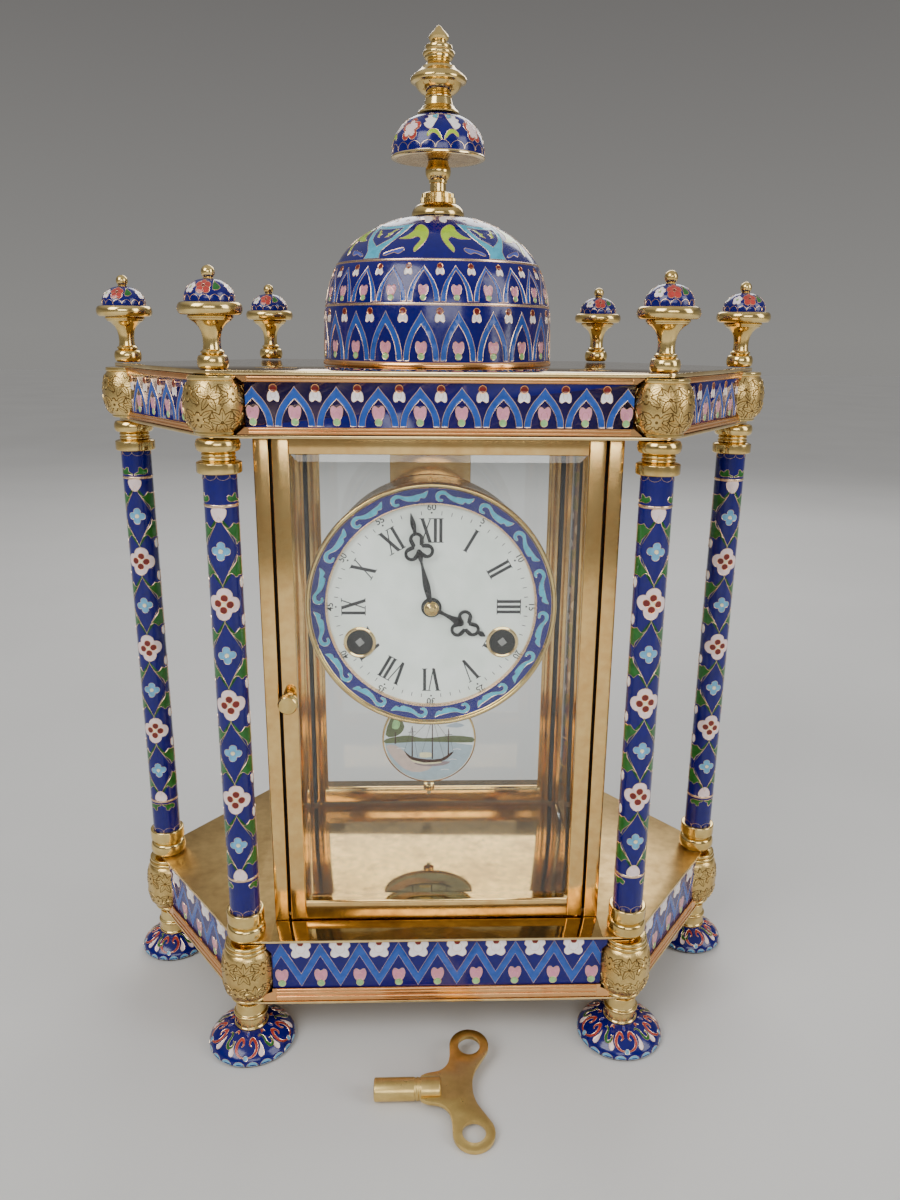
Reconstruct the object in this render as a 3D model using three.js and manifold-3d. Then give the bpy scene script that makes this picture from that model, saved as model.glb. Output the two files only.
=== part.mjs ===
// Mantel clock: a brass and enamel case on six turned corners, with a domed canopy, a glazed
// case with a door at the front and the back, a striking pendulum movement, and its winding key.
// Millimetres, +Z up, front towards -Y. The origin is on the surface that the clock stands on,
// under the middle of the clock and the key together.

import * as THREE from 'three';
import Module from 'manifold-3d';
import { mergeVertices } from 'three/addons/utils/BufferGeometryUtils.js';

const wasm = await Module();
wasm.setup();

// ---- Driving dimensions ----

// Clearances
const GAP = 0.3; // between pieces that don't move on each other
const RUN = 0.5; // around pieces that turn

// Plan of the six corners
const FRONT_CORNER_X = 102;
const SIDE_CORNER_X = 165;
const CORNER_Y = 86;
const PLATE_OVERHANG = 6.6; // from the corner axes to the edge of the plates
const PLATE_ROUNDING = 3;

// Heights, from the surface upward
const FOOT_HEIGHT = 12;
const NECK_HEIGHT = 15;
const PLATE_THICKNESS = 1.5;
const ROOF_THICKNESS = 2;
const BASE_BOX_HEIGHT = 36.5;
const CASE_HEIGHT = 263.5;
const CANOPY_BOX_HEIGHT = 26.5;

// Turned corners
const FOOT_RADIUS = 23.3;
const SIDE_FOOT_RADIUS = 20.1;
const NECK_RADIUS = 8;
const SPIGOT_RADIUS = 3.2;
const SOCKET_DEPTH = 7;
const BASE_DRUM_RADIUS = 14.2;
const BASE_DRUM_FOOT_RADIUS = 9.6;
const BASE_DRUM_HEAD_RADIUS = 11.4;
const COLUMN_RADIUS = 7.9;
const COLUMN_RING_RADIUS = 10.3;
const COLUMN_COLLAR_RADIUS = 9.9;
const BASE_RING_HEIGHT = 9.2;
const BASE_COLLAR_HEIGHT = 7;
const CAPITAL_COLLAR_HEIGHT = 5.4;
const CAPITAL_NECK_RADIUS = 7;
const CAPITAL_RING_HEIGHT = 6;
const CANOPY_DRUM_RADIUS = 14.4;
const CANOPY_DRUM_END_RADIUS = 10.3;
const FINIAL_FOOT_RADIUS = 7;
const FINIAL_STEM_RADIUS = 3.6;
const FINIAL_FLARE_RADIUS = 10.5;
const FINIAL_RIM_RADIUS = 14.2;
const FINIAL_CAP_RADIUS = 11;
const FINIAL_BALL_RADIUS = 3;
const FINIAL_HEIGHT = 44;

// Friezes
const RAIL_INSET = 0.6;
const PANEL_INSET = 1.6;
const FRIEZE_WALL = 3;
const SADDLE_WALL = 2.5;
const BASE_RAIL_HEIGHT = 7.7;
const CANOPY_LOWER_RAIL_HEIGHT = 3.2;
const CANOPY_UPPER_RAIL_HEIGHT = 2.7;

// Dome and spire
const DOME_RADIUS = 61;
const DOME_HEIGHT = 74;
const DOME_WALL = 2;
const SPIRE_FOOT_RADIUS = 13.6;
const SPIRE_STEM_HEIGHT = 27;
const SPIRE_BELL_RADIUS = 24;
const SPIRE_BELL_HEIGHT = 21;
const SPIRE_TIP_HEIGHT = 40;
const SPIRE_STUD_RADIUS = 2;

// Glazed case
const CASE_SIDE_INSET = 13.6; // from the front corner axes to the outside of the posts
const CASE_FRONT_INSET = 11.4;
const CASE_BACK_INSET = 22.8;
const POST_SIZE = 7.25;
const GLASS_THICKNESS = 3;
const GLASS_GROOVE = 2;
const DOOR_SIDE_GAP = 1.5;
const DOOR_END_GAP = 1.2;
const DOOR_THICKNESS = 5;
const DOOR_STILE = 8;
const DOOR_TOP_RAIL = 8;
const DOOR_BOTTOM_RAIL = 10;
const DOOR_LIP = 2; // thickness of the lip in front of the glass
const DOOR_REBATE = 1.5; // how far the glass reaches behind the lip
const HINGE_PIN_RADIUS = 1.3;
const KNOB_RADIUS = 5;
const KNOB_LENGTH = 10;
const KNOB_SHAFT_RADIUS = 1.3;
const KNOB_DROP = 132; // below the top of the door
const LATCH_THICKNESS = 1.5;
const LATCH_WIDTH = 4;
const LATCH_OVERLAP = 1.3;

// Dial and movement, about the centre of the dial, with y counted back from the bezel's front
const MOVEMENT_X = -3.5;
const MOVEMENT_DROP = 90; // below the canopy
const BEZEL_SETBACK = 16;
const BEZEL_RADIUS = 65;
const BEZEL_DEPTH = 6;
const BEZEL_RIM = 2.8;
const DIAL_RADIUS = 54.3;
const DIAL_LAP = 1.7;
const DIAL_THICKNESS = 1.5;
const WINDING_X = 37.3;
const WINDING_DROP = 19.3;
const WINDING_HOLE_RADIUS = 6.65;
const GROMMET_RADIUS = 8.5;
const ARBOR_SQUARE = 4.8;
const ARBOR_RADIUS = 2;
const BARREL_RADIUS = 12;
const HOUR_HAND_LENGTH = 32.5;
const MINUTE_HAND_LENGTH = 51;
const HAND_THICKNESS = 0.8;
const HOUR_PIPE_RADIUS = 3;
const CENTRE_ARBOR_RADIUS = 1.2;
const HOUR_HAND_ANGLE = 119; // degrees clockwise from twelve
const MINUTE_HAND_ANGLE = 348;
const DRUM_CASE_RADIUS = 61;
const DRUM_CASE_WALL = 2;
const DRUM_CASE_LENGTH = 53;
const MOVEMENT_PLATE_RADIUS = 55;
const MOVEMENT_PLATE_THICKNESS = 2.5;
const FRONT_PLATE_Y = 12.6;
const BACK_PLATE_Y = 48.6;
const PILLAR_RADIUS = 3;
const STRAP_WIDTH = 45;
const STRAP_THICKNESS = 2.5;
const STRAP_Y = 58.6;
const STRAP_FLANGE = 20;

// Escapement, pendulum and strike
const ESCAPE_WHEEL_Z = 26;
const ESCAPE_WHEEL_RADIUS = 11;
const ESCAPE_TEETH = 15;
const ESCAPEMENT_Y = 30;
const PENDULUM_AXIS_Z = 50;
const PENDULUM_Y = 78.6;
const PENDULUM_ROD_RADIUS = 1.2;
const BOB_RADIUS = 29.5;
const BOB_THICKNESS = 8;
const BOB_CLEARANCE = 36; // from the case floor to the bottom of the bob
const RATING_NUT_RADIUS = 3.5;
const CRUTCH_LENGTH = 28;
const BELL_DROP = 10;
const BELL_RADIUS = 23;
const BELL_DEPTH = 12.4;
const BELL_WALL = 1.5;
const BELL_Y = 60.6;
const HAMMER_X = 38;
const HAMMER_Z = 14;
const HAMMER_ARBOR_RADIUS = 1.5;
const HAMMER_CLEARANCE = 0.8;

// Winding key
const KEY_BARREL_RADIUS = 5.6;
const KEY_BARREL_LENGTH = 34;
const KEY_SOCKET = 5;
const KEY_SOCKET_DEPTH = 16;
const KEY_LENGTH = 61;
const KEY_SPAN = 75;
const KEY_PLATE = 2.5;
const KEY_WING_RADIUS = 12;
const KEY_HOLE_RADIUS = 6;
const KEY_X = -33; // open end of the barrel
const KEY_SETBACK = 44.5; // from the front corner axes forward to the barrel

// Facets round the turned pieces
const LEG_FACETS = 12;
const CORNER_FACETS = 10;
const SPIRE_FACETS = 12;
const DOME_FACETS = 20;
const DIAL_FACETS = 28;
const SMALL_FACETS = 8;

// ---- Levels and planes that follow ----

const Z_BASE_PLATE = FOOT_HEIGHT + NECK_HEIGHT;
const Z_BASE_BOX = Z_BASE_PLATE + PLATE_THICKNESS;
const Z_BASE_TOP = Z_BASE_BOX + BASE_BOX_HEIGHT;
const Z_CASE = Z_BASE_TOP + PLATE_THICKNESS;
const Z_CANOPY = Z_CASE + CASE_HEIGHT;
const Z_CANOPY_BOX = Z_CANOPY + PLATE_THICKNESS;
const Z_CANOPY_TOP = Z_CANOPY_BOX + CANOPY_BOX_HEIGHT;
const Z_ROOF = Z_CANOPY_TOP + ROOF_THICKNESS;
const Z_DOME_TOP = Z_ROOF + DOME_HEIGHT;
const Z_SPIRE_BELL = Z_DOME_TOP + SPIRE_STEM_HEIGHT + GAP;
const Z_SPIRE_TIP = Z_SPIRE_BELL + SPIRE_BELL_HEIGHT + GAP;
const HOLE_RADIUS = SPIGOT_RADIUS + GAP;

const CASE_HALF_WIDTH = FRONT_CORNER_X - CASE_SIDE_INSET;
const CASE_FRONT_Y = CASE_FRONT_INSET - CORNER_Y;
const CASE_BACK_Y = CORNER_Y - CASE_BACK_INSET;
const DOOR_HALF_WIDTH = CASE_HALF_WIDTH - POST_SIZE - DOOR_SIDE_GAP;
const DOOR_HEIGHT = CASE_HEIGHT - 2 * DOOR_END_GAP;
const HINGE_PIN_X = DOOR_HALF_WIDTH - DOOR_THICKNESS / 2;
const HINGE_PIN_Y = DOOR_THICKNESS / 2; // behind the front face of the door

const MOVEMENT_Z = Z_CANOPY - MOVEMENT_DROP;
const MOVEMENT_Y = CASE_FRONT_Y + BEZEL_SETBACK;

const CORNERS = [
  ['front_left', -FRONT_CORNER_X, -CORNER_Y, FOOT_RADIUS],
  ['front_right', FRONT_CORNER_X, -CORNER_Y, FOOT_RADIUS],
  ['right', SIDE_CORNER_X, 0, SIDE_FOOT_RADIUS],
  ['back_right', FRONT_CORNER_X, CORNER_Y, FOOT_RADIUS],
  ['back_left', -FRONT_CORNER_X, CORNER_Y, FOOT_RADIUS],
  ['left', -SIDE_CORNER_X, 0, SIDE_FOOT_RADIUS],
];

// ---- Materials ----

function finish(color, metalness, roughness) {
  return new THREE.MeshStandardMaterial({ color, metalness, roughness });
}

const BRASS = finish(0xd9a441, 1, 0.22);
const COPPER = finish(0xc9743a, 1, 0.3);
const BLUE_ENAMEL = finish(0x1d2f86, 0, 0.15);
const GLASS = finish(0xdfeef0, 0, 0.05);
const WHITE_ENAMEL = finish(0xf2efe6, 0, 0.2);
const BLACK_STEEL = finish(0x15151a, 1, 0.35);
const STEEL = finish(0xb9bcc0, 1, 0.3);

// ---- Geometry helpers ----

// A closed three.js mesh as a solid for joining and cutting.
function toSolid(geometry) {
  const bare = geometry.clone();
  bare.deleteAttribute('normal');
  bare.deleteAttribute('uv');
  const merged = mergeVertices(bare, 1e-4);
  const corners = merged.index.array;
  const triVerts = [];
  for (let i = 0; i < corners.length; i += 3) {
    const [a, b, c] = [corners[i], corners[i + 1], corners[i + 2]];
    if (a !== b && b !== c && c !== a) {
      triVerts.push(a, b, c);
    }
  }
  return new wasm.Manifold(new wasm.Mesh({
    numProp: 3,
    vertProperties: new Float32Array(merged.attributes.position.array),
    triVerts: new Uint32Array(triVerts),
  }));
}

function toGeometry(solid) {
  const mesh = solid.getMesh();
  const geometry = new THREE.BufferGeometry();
  geometry.setAttribute('position', new THREE.BufferAttribute(mesh.vertProperties, 3));
  geometry.setIndex(new THREE.BufferAttribute(mesh.triVerts, 1));
  geometry.computeVertexNormals();
  return geometry;
}

function joined(...geometries) {
  return toGeometry(geometries.map(toSolid).reduce((whole, piece) => whole.add(piece)));
}

function cut(geometry, ...tools) {
  return toGeometry(tools.map(toSolid).reduce((rest, tool) => rest.subtract(tool), toSolid(geometry)));
}

// A profile of [radius, height] points, turned about the Z axis.
function turned(profile, facets) {
  return turnedAboutY(profile, facets).rotateX(Math.PI / 2);
}

function turnedAboutY(profile, facets) {
  return new THREE.LatheGeometry(profile.map(([r, h]) => new THREE.Vector2(r, h)), facets);
}

// The same, for a profile that closes on itself.
function ring(profile, facets) {
  return turned([...profile, profile[0]], facets);
}

function ringAboutY(profile, facets) {
  return turnedAboutY([...profile, profile[0]], facets);
}

function roundedShape(points, radius) {
  const shape = new THREE.Shape();
  points.forEach((corner, i) => {
    const before = points[(i + points.length - 1) % points.length];
    const after = points[(i + 1) % points.length];
    const start = before.clone().sub(corner).setLength(radius).add(corner);
    const end = after.clone().sub(corner).setLength(radius).add(corner);
    if (i === 0) {
      shape.moveTo(start.x, start.y);
    } else {
      shape.lineTo(start.x, start.y);
    }
    shape.quadraticCurveTo(corner.x, corner.y, end.x, end.y);
  });
  shape.closePath();
  return shape;
}

function shapeOf(points) {
  return new THREE.Shape(points.map(([x, y]) => new THREE.Vector2(x, y)));
}

// A faceted hole that a circle of the given radius just fits into.
function circlePath(x, y, radius, facets = CORNER_FACETS) {
  const reach = radius / Math.cos(Math.PI / facets);
  const points = [];
  for (let i = 0; i < facets; i += 1) {
    const angle = -2 * Math.PI * i / facets;
    points.push(new THREE.Vector2(x + reach * Math.cos(angle), y + reach * Math.sin(angle)));
  }
  return new THREE.Path(points);
}

// A shape raised from z0 to z1.
function slab(shape, z0, z1, curveSegments = 3) {
  const geometry = new THREE.ExtrudeGeometry(shape, {
    depth: z1 - z0,
    bevelEnabled: false,
    curveSegments,
  });
  return geometry.translate(0, 0, z0);
}

// A shape drawn in x and z, seen from the front, running from y0 back to y1.
function frontSlab(shape, y0, y1, curveSegments = 3) {
  return slab(shape, 0, y1 - y0, curveSegments).rotateX(Math.PI / 2).translate(0, y1, 0);
}

function block(x0, x1, y0, y1, z0, z1) {
  const geometry = new THREE.BoxGeometry(x1 - x0, y1 - y0, z1 - z0);
  return geometry.translate((x0 + x1) / 2, (y0 + y1) / 2, (z0 + z1) / 2);
}

function rodAboutY(x, z, radius, y0, y1, facets = SMALL_FACETS) {
  const rod = turnedAboutY([[0, y0], [radius, y0], [radius, y1], [0, y1]], facets);
  return rod.translate(x, 0, z);
}

function rodAboutZ(x, y, radius, z0, z1, facets = SMALL_FACETS) {
  const rod = turned([[0, z0], [radius, z0], [radius, z1], [0, z1]], facets);
  return rod.translate(x, y, 0);
}

// The outline through the corner axes, moved outward.
function cornerOutline(offset) {
  const corners = CORNERS.map(([, x, y]) => new THREE.Vector2(x, y));
  return corners.map((corner, i) => {
    const arriving = corner.clone().sub(corners[(i + 5) % 6]).normalize();
    const leaving = corners[(i + 1) % 6].clone().sub(corner).normalize();
    const normal = new THREE.Vector2(arriving.y, -arriving.x);
    const nextNormal = new THREE.Vector2(leaving.y, -leaving.x);
    const reach = offset / (1 + normal.dot(nextNormal));
    return corner.clone().addScaledVector(normal.add(nextNormal), reach);
  });
}

// ---- The assembly ----

const clock = new THREE.Group();

function add(parent, name, geometry, material, x = 0, y = 0, z = 0) {
  const mesh = new THREE.Mesh(geometry, material);
  mesh.name = name;
  mesh.position.set(x, y, z);
  parent.add(mesh);
}

// ---- Turned corners: foot and base drum, column, canopy drum, finial ----

const baseDrumProfile = (grow) => [
  [BASE_DRUM_FOOT_RADIUS + grow, Z_BASE_BOX + GAP - grow],
  [BASE_DRUM_FOOT_RADIUS + grow, Z_BASE_BOX + 4],
  [BASE_DRUM_RADIUS + grow, Z_BASE_BOX + 6],
  [BASE_DRUM_RADIUS + grow, Z_BASE_TOP - 7],
  [BASE_DRUM_HEAD_RADIUS + grow, Z_BASE_TOP - 4],
  [BASE_DRUM_HEAD_RADIUS + grow, Z_BASE_TOP - GAP + grow],
];

const canopyDrumProfile = (grow) => [
  [CANOPY_DRUM_END_RADIUS + grow, Z_CANOPY_BOX + GAP - grow],
  [CANOPY_DRUM_RADIUS + grow, Z_CANOPY_BOX + CANOPY_LOWER_RAIL_HEIGHT],
  [CANOPY_DRUM_RADIUS + grow, Z_CANOPY_TOP - CANOPY_UPPER_RAIL_HEIGHT],
  [CANOPY_DRUM_END_RADIUS + grow, Z_CANOPY_TOP - GAP + grow],
];

function socketAt(z) {
  return [
    [HOLE_RADIUS, z],
    [HOLE_RADIUS, z - SOCKET_DEPTH],
    [0, z - SOCKET_DEPTH],
  ];
}

// The stud below a turned piece, through a plate and into the socket under it.
function studBelow(z, socketTop) {
  const end = socketTop - SOCKET_DEPTH + GAP;
  return [
    [0, end],
    [SPIGOT_RADIUS, end],
    [SPIGOT_RADIUS, z],
  ];
}

const legProfile = (footRadius) => [
  [0, 0],
  [footRadius - 2.5, 0],
  [footRadius, 2.5],
  [footRadius - 2, 0.5 * FOOT_HEIGHT],
  [0.7 * footRadius, 0.85 * FOOT_HEIGHT],
  [NECK_RADIUS, FOOT_HEIGHT],
  [NECK_RADIUS, Z_BASE_PLATE - GAP],
  [SPIGOT_RADIUS, Z_BASE_PLATE - GAP],
  [SPIGOT_RADIUS, Z_BASE_BOX + GAP],
  ...baseDrumProfile(0),
  ...socketAt(Z_BASE_TOP - GAP),
];

const columnFoot = Z_CASE + GAP;
const columnHead = Z_CANOPY - GAP;
const baseCollar = columnFoot + BASE_RING_HEIGHT;
const shaftFoot = baseCollar + BASE_COLLAR_HEIGHT;
const capitalRing = columnHead - CAPITAL_RING_HEIGHT;
const shaftHead = capitalRing - CAPITAL_COLLAR_HEIGHT - 4.6;
const columnProfile = [
  ...studBelow(columnFoot, Z_BASE_TOP - GAP),
  [COLUMN_RING_RADIUS - 1.5, columnFoot],
  [COLUMN_RING_RADIUS, columnFoot + BASE_RING_HEIGHT / 2],
  [COLUMN_RING_RADIUS - 2, baseCollar],
  [COLUMN_COLLAR_RADIUS, baseCollar + 1.5],
  [COLUMN_COLLAR_RADIUS, shaftFoot],
  [COLUMN_RADIUS, shaftFoot],
  [COLUMN_RADIUS, shaftHead],
  [COLUMN_COLLAR_RADIUS, shaftHead],
  [COLUMN_COLLAR_RADIUS, shaftHead + CAPITAL_COLLAR_HEIGHT],
  [CAPITAL_NECK_RADIUS, shaftHead + CAPITAL_COLLAR_HEIGHT + 1.5],
  [CAPITAL_NECK_RADIUS, capitalRing - 1],
  [COLUMN_RING_RADIUS, capitalRing + 1],
  [COLUMN_RING_RADIUS, columnHead],
  ...socketAt(columnHead),
];

const canopyDrumPiece = [
  ...studBelow(Z_CANOPY_BOX + GAP, columnHead),
  ...canopyDrumProfile(0),
  ...socketAt(Z_CANOPY_TOP - GAP),
];

const finialFoot = Z_ROOF + GAP;
const finialRim = finialFoot + 24;
const finialBall = finialFoot + FINIAL_HEIGHT - FINIAL_BALL_RADIUS;
const finialProfile = [
  ...studBelow(finialFoot, Z_CANOPY_TOP - GAP),
  [FINIAL_FOOT_RADIUS - 1.5, finialFoot],
  [FINIAL_FOOT_RADIUS, finialFoot + 3],
  [FINIAL_STEM_RADIUS, finialFoot + 8],
  [FINIAL_STEM_RADIUS, finialFoot + 13],
  [FINIAL_FLARE_RADIUS, finialRim - 2.5],
  [FINIAL_RIM_RADIUS, finialRim],
  [FINIAL_RIM_RADIUS, finialRim + 3.5],
  [FINIAL_CAP_RADIUS, finialRim + 5],
  [0.75 * FINIAL_CAP_RADIUS, finialBall - FINIAL_BALL_RADIUS - 3],
  [1.5, finialBall - FINIAL_BALL_RADIUS + 0.5],
  [FINIAL_BALL_RADIUS, finialBall],
  [0, finialBall + FINIAL_BALL_RADIUS],
];

for (const [corner, x, y, footRadius] of CORNERS) {
  add(clock, `leg_${corner}`, turned(legProfile(footRadius), LEG_FACETS), BRASS, x, y);
  add(clock, `column_${corner}`, turned(columnProfile, CORNER_FACETS), BLUE_ENAMEL, x, y);
  add(clock, `canopy_drum_${corner}`, turned(canopyDrumPiece, CORNER_FACETS), BRASS, x, y);
  add(clock, `finial_${corner}`, turned(finialProfile, CORNER_FACETS), BRASS, x, y);
}

// ---- Plates and friezes ----

function plate(z0, z1, extraHoles = []) {
  const shape = roundedShape(cornerOutline(PLATE_OVERHANG), PLATE_ROUNDING);
  for (const [, x, y] of CORNERS) {
    shape.holes.push(circlePath(x, y, HOLE_RADIUS));
  }
  shape.holes.push(...extraHoles);
  return slab(shape, z0, z1);
}

const hingeHoles = [
  circlePath(HINGE_PIN_X, CASE_FRONT_Y + HINGE_PIN_Y, HINGE_PIN_RADIUS + GAP),
  circlePath(-HINGE_PIN_X, CASE_BACK_Y - HINGE_PIN_Y, HINGE_PIN_RADIUS + GAP),
];

add(clock, 'base_bottom_plate', plate(Z_BASE_PLATE, Z_BASE_BOX), BRASS);
add(clock, 'base_top_plate', plate(Z_BASE_TOP, Z_CASE, hingeHoles), BRASS);
add(clock, 'canopy_bottom_plate', plate(Z_CANOPY, Z_CANOPY_BOX, hingeHoles), BRASS);
add(clock, 'canopy_top_plate', plate(Z_CANOPY_TOP, Z_ROOF), BRASS);

// A six-sided band with rails that stand proud of its panels, and a saddle behind each drum
// that joins one side of the band to the next.
function frieze(z0, z1, bands, drumProfile, drumRadius, drumFacets) {
  const inner = shapeOf(cornerOutline(PLATE_OVERHANG - PANEL_INSET - FRIEZE_WALL).map((p) => [p.x, p.y]));
  const outer = shapeOf(cornerOutline(PLATE_OVERHANG - PANEL_INSET).map((p) => [p.x, p.y]));
  let solid = toSolid(slab(outer, z0, z1));
  for (const [low, high] of bands) {
    const rail = shapeOf(cornerOutline(PLATE_OVERHANG - RAIL_INSET).map((p) => [p.x, p.y]));
    solid = solid.add(toSolid(slab(rail, low, high)));
  }
  let hollow = toSolid(slab(inner, z0 - 1, z1 + 1));
  let drums = null;
  for (const [, x, y] of CORNERS) {
    hollow = hollow.subtract(toSolid(rodAboutZ(x, y, drumRadius + 2 * GAP + SADDLE_WALL, z0 - 2, z1 + 2, 12)));
    const profile = drumProfile(2 * GAP);
    const drum = toSolid(turned([
      [0, z0 - 1],
      [profile[0][0], z0 - 1],
      ...profile.slice(1, -1),
      [profile[profile.length - 1][0], z1 + 1],
      [0, z1 + 1],
    ], drumFacets).translate(x, y, 0));
    drums = drums ? drums.add(drum) : drum;
  }
  return toGeometry(solid.subtract(hollow).subtract(drums));
}

add(clock, 'base_frieze', frieze(
  Z_BASE_BOX + GAP,
  Z_BASE_TOP - GAP,
  [[Z_BASE_BOX + GAP, Z_BASE_BOX + GAP + BASE_RAIL_HEIGHT]],
  baseDrumProfile,
  BASE_DRUM_RADIUS,
  LEG_FACETS,
), COPPER);

add(clock, 'canopy_frieze', frieze(
  Z_CANOPY_BOX + GAP,
  Z_CANOPY_TOP - GAP,
  [
    [Z_CANOPY_BOX + GAP, Z_CANOPY_BOX + GAP + CANOPY_LOWER_RAIL_HEIGHT],
    [Z_CANOPY_TOP - GAP - CANOPY_UPPER_RAIL_HEIGHT, Z_CANOPY_TOP - GAP],
  ],
  canopyDrumProfile,
  CANOPY_DRUM_RADIUS,
  CORNER_FACETS,
), BLUE_ENAMEL);

// ---- Dome and spire ----

// Shares of the dome's radius and height, from its foot ring to the seat of the spire.
const domeCurve = [
  [1, 0.04],
  [0.988, 0.05],
  [0.984, 0.2],
  [0.974, 0.405],
  [0.867, 0.676],
  [0.708, 0.818],
  [0.508, 0.928],
  [SPIRE_FOOT_RADIUS / DOME_RADIUS, 1],
];
const domeFoot = Z_ROOF + GAP;
const domeOutside = domeCurve.map(([r, h]) => [r * DOME_RADIUS, Z_ROOF + h * DOME_HEIGHT]);
const domeInside = domeCurve.slice(2).map(([r, h]) => [
  r * DOME_RADIUS - DOME_WALL,
  Z_ROOF + h * DOME_HEIGHT - DOME_WALL,
]).reverse();
const domeWallBottom = domeInside[domeInside.length - 1][0];

add(clock, 'dome_shell', ring([
  [domeWallBottom, domeFoot],
  [DOME_RADIUS, domeFoot],
  ...domeOutside,
  [HOLE_RADIUS, Z_DOME_TOP],
  [HOLE_RADIUS, Z_DOME_TOP - DOME_WALL],
  ...domeInside,
], DOME_FACETS), BLUE_ENAMEL);

const stemFoot = Z_DOME_TOP + GAP;
const stemHead = stemFoot + SPIRE_STEM_HEIGHT - GAP;
add(clock, 'spire_stem', turned([
  [0, Z_DOME_TOP - 3 * DOME_WALL],
  [SPIGOT_RADIUS, Z_DOME_TOP - 3 * DOME_WALL],
  [SPIGOT_RADIUS, stemFoot],
  [SPIRE_FOOT_RADIUS, stemFoot],
  [SPIRE_FOOT_RADIUS - 1, stemFoot + 3.5],
  [SPIRE_FOOT_RADIUS - 4.5, stemFoot + 5.2],
  [SPIRE_FOOT_RADIUS - 5.6, stemFoot + 10.3],
  [4.2, stemFoot + 11.7],
  [4.2, stemFoot + 15.7],
  [6.5, stemFoot + 20.4],
  [6, stemHead],
  [SPIRE_STUD_RADIUS + GAP, stemHead],
  [SPIRE_STUD_RADIUS + GAP, stemHead - SOCKET_DEPTH],
  [0, stemHead - SOCKET_DEPTH],
], SPIRE_FACETS), BRASS);

add(clock, 'spire_bell', ring([
  [SPIRE_STUD_RADIUS + GAP, Z_SPIRE_BELL],
  [SPIRE_BELL_RADIUS, Z_SPIRE_BELL],
  [SPIRE_BELL_RADIUS, Z_SPIRE_BELL + 2],
  [0.946 * SPIRE_BELL_RADIUS, Z_SPIRE_BELL + 0.42 * SPIRE_BELL_HEIGHT],
  [0.788 * SPIRE_BELL_RADIUS, Z_SPIRE_BELL + 0.72 * SPIRE_BELL_HEIGHT],
  [0.525 * SPIRE_BELL_RADIUS, Z_SPIRE_BELL + 0.93 * SPIRE_BELL_HEIGHT],
  [SPIRE_STUD_RADIUS + GAP, Z_SPIRE_BELL + SPIRE_BELL_HEIGHT],
], SPIRE_FACETS), BLUE_ENAMEL);

// Radius and share of the tip's height.
const tipCurve = [
  [10.1, 0],
  [7.5, 0.09],
  [6.5, 0.17],
  [10.5, 0.28],
  [14.1, 0.37],
  [12.3, 0.43],
  [8.7, 0.52],
  [6.3, 0.61],
  [7.7, 0.7],
  [4.9, 0.81],
  [5.1, 0.87],
  [2.5, 0.94],
  [0, 1],
];
add(clock, 'spire_tip', turned([
  [0, stemHead - SOCKET_DEPTH + GAP],
  [SPIRE_STUD_RADIUS, stemHead - SOCKET_DEPTH + GAP],
  [SPIRE_STUD_RADIUS, Z_SPIRE_TIP],
  ...tipCurve.map(([r, h]) => [r, Z_SPIRE_TIP + h * SPIRE_TIP_HEIGHT]),
], SPIRE_FACETS), BRASS);

// ---- Glazed case: posts, side glasses and two doors ----

// A square post with a groove for the side glass. The groove opens towards +y.
function postShape() {
  const half = POST_SIZE / 2;
  const slot = GLASS_THICKNESS / 2 + GAP;
  return shapeOf([
    [-half, -half],
    [half, -half],
    [half, half],
    [slot, half],
    [slot, half - GLASS_GROOVE],
    [-slot, half - GLASS_GROOVE],
    [-slot, half],
    [-half, half],
  ]);
}

const postX = CASE_HALF_WIDTH - POST_SIZE / 2;
const frontPostY = CASE_FRONT_Y + POST_SIZE / 2;
const backPostY = CASE_BACK_Y - POST_SIZE / 2;
for (const [side, sign] of [['left', -1], ['right', 1]]) {
  const frontPost = slab(postShape(), Z_CASE + GAP, Z_CANOPY - GAP);
  const backPost = slab(postShape(), Z_CASE + GAP, Z_CANOPY - GAP).rotateZ(Math.PI);
  add(clock, `case_post_front_${side}`, frontPost, BRASS, sign * postX, frontPostY);
  add(clock, `case_post_back_${side}`, backPost, BRASS, sign * postX, backPostY);
  add(clock, `side_glass_${side}`, block(
    -GLASS_THICKNESS / 2,
    GLASS_THICKNESS / 2,
    frontPostY + POST_SIZE / 2 - GLASS_GROOVE + GAP,
    backPostY - POST_SIZE / 2 + GLASS_GROOVE - GAP,
    Z_CASE + GAP,
    Z_CANOPY - GAP,
  ), GLASS, sign * postX);
}

function rectangle(halfWidth, bottom, top) {
  return [[-halfWidth, bottom], [halfWidth, bottom], [halfWidth, top], [-halfWidth, top]];
}

function frameLayer(opening, y0, y1) {
  const shape = shapeOf(rectangle(DOOR_HALF_WIDTH, 0, DOOR_HEIGHT));
  shape.holes.push(new THREE.Path(opening.map(([x, z]) => new THREE.Vector2(x, z))));
  return frontSlab(shape, y0, y1);
}

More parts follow.
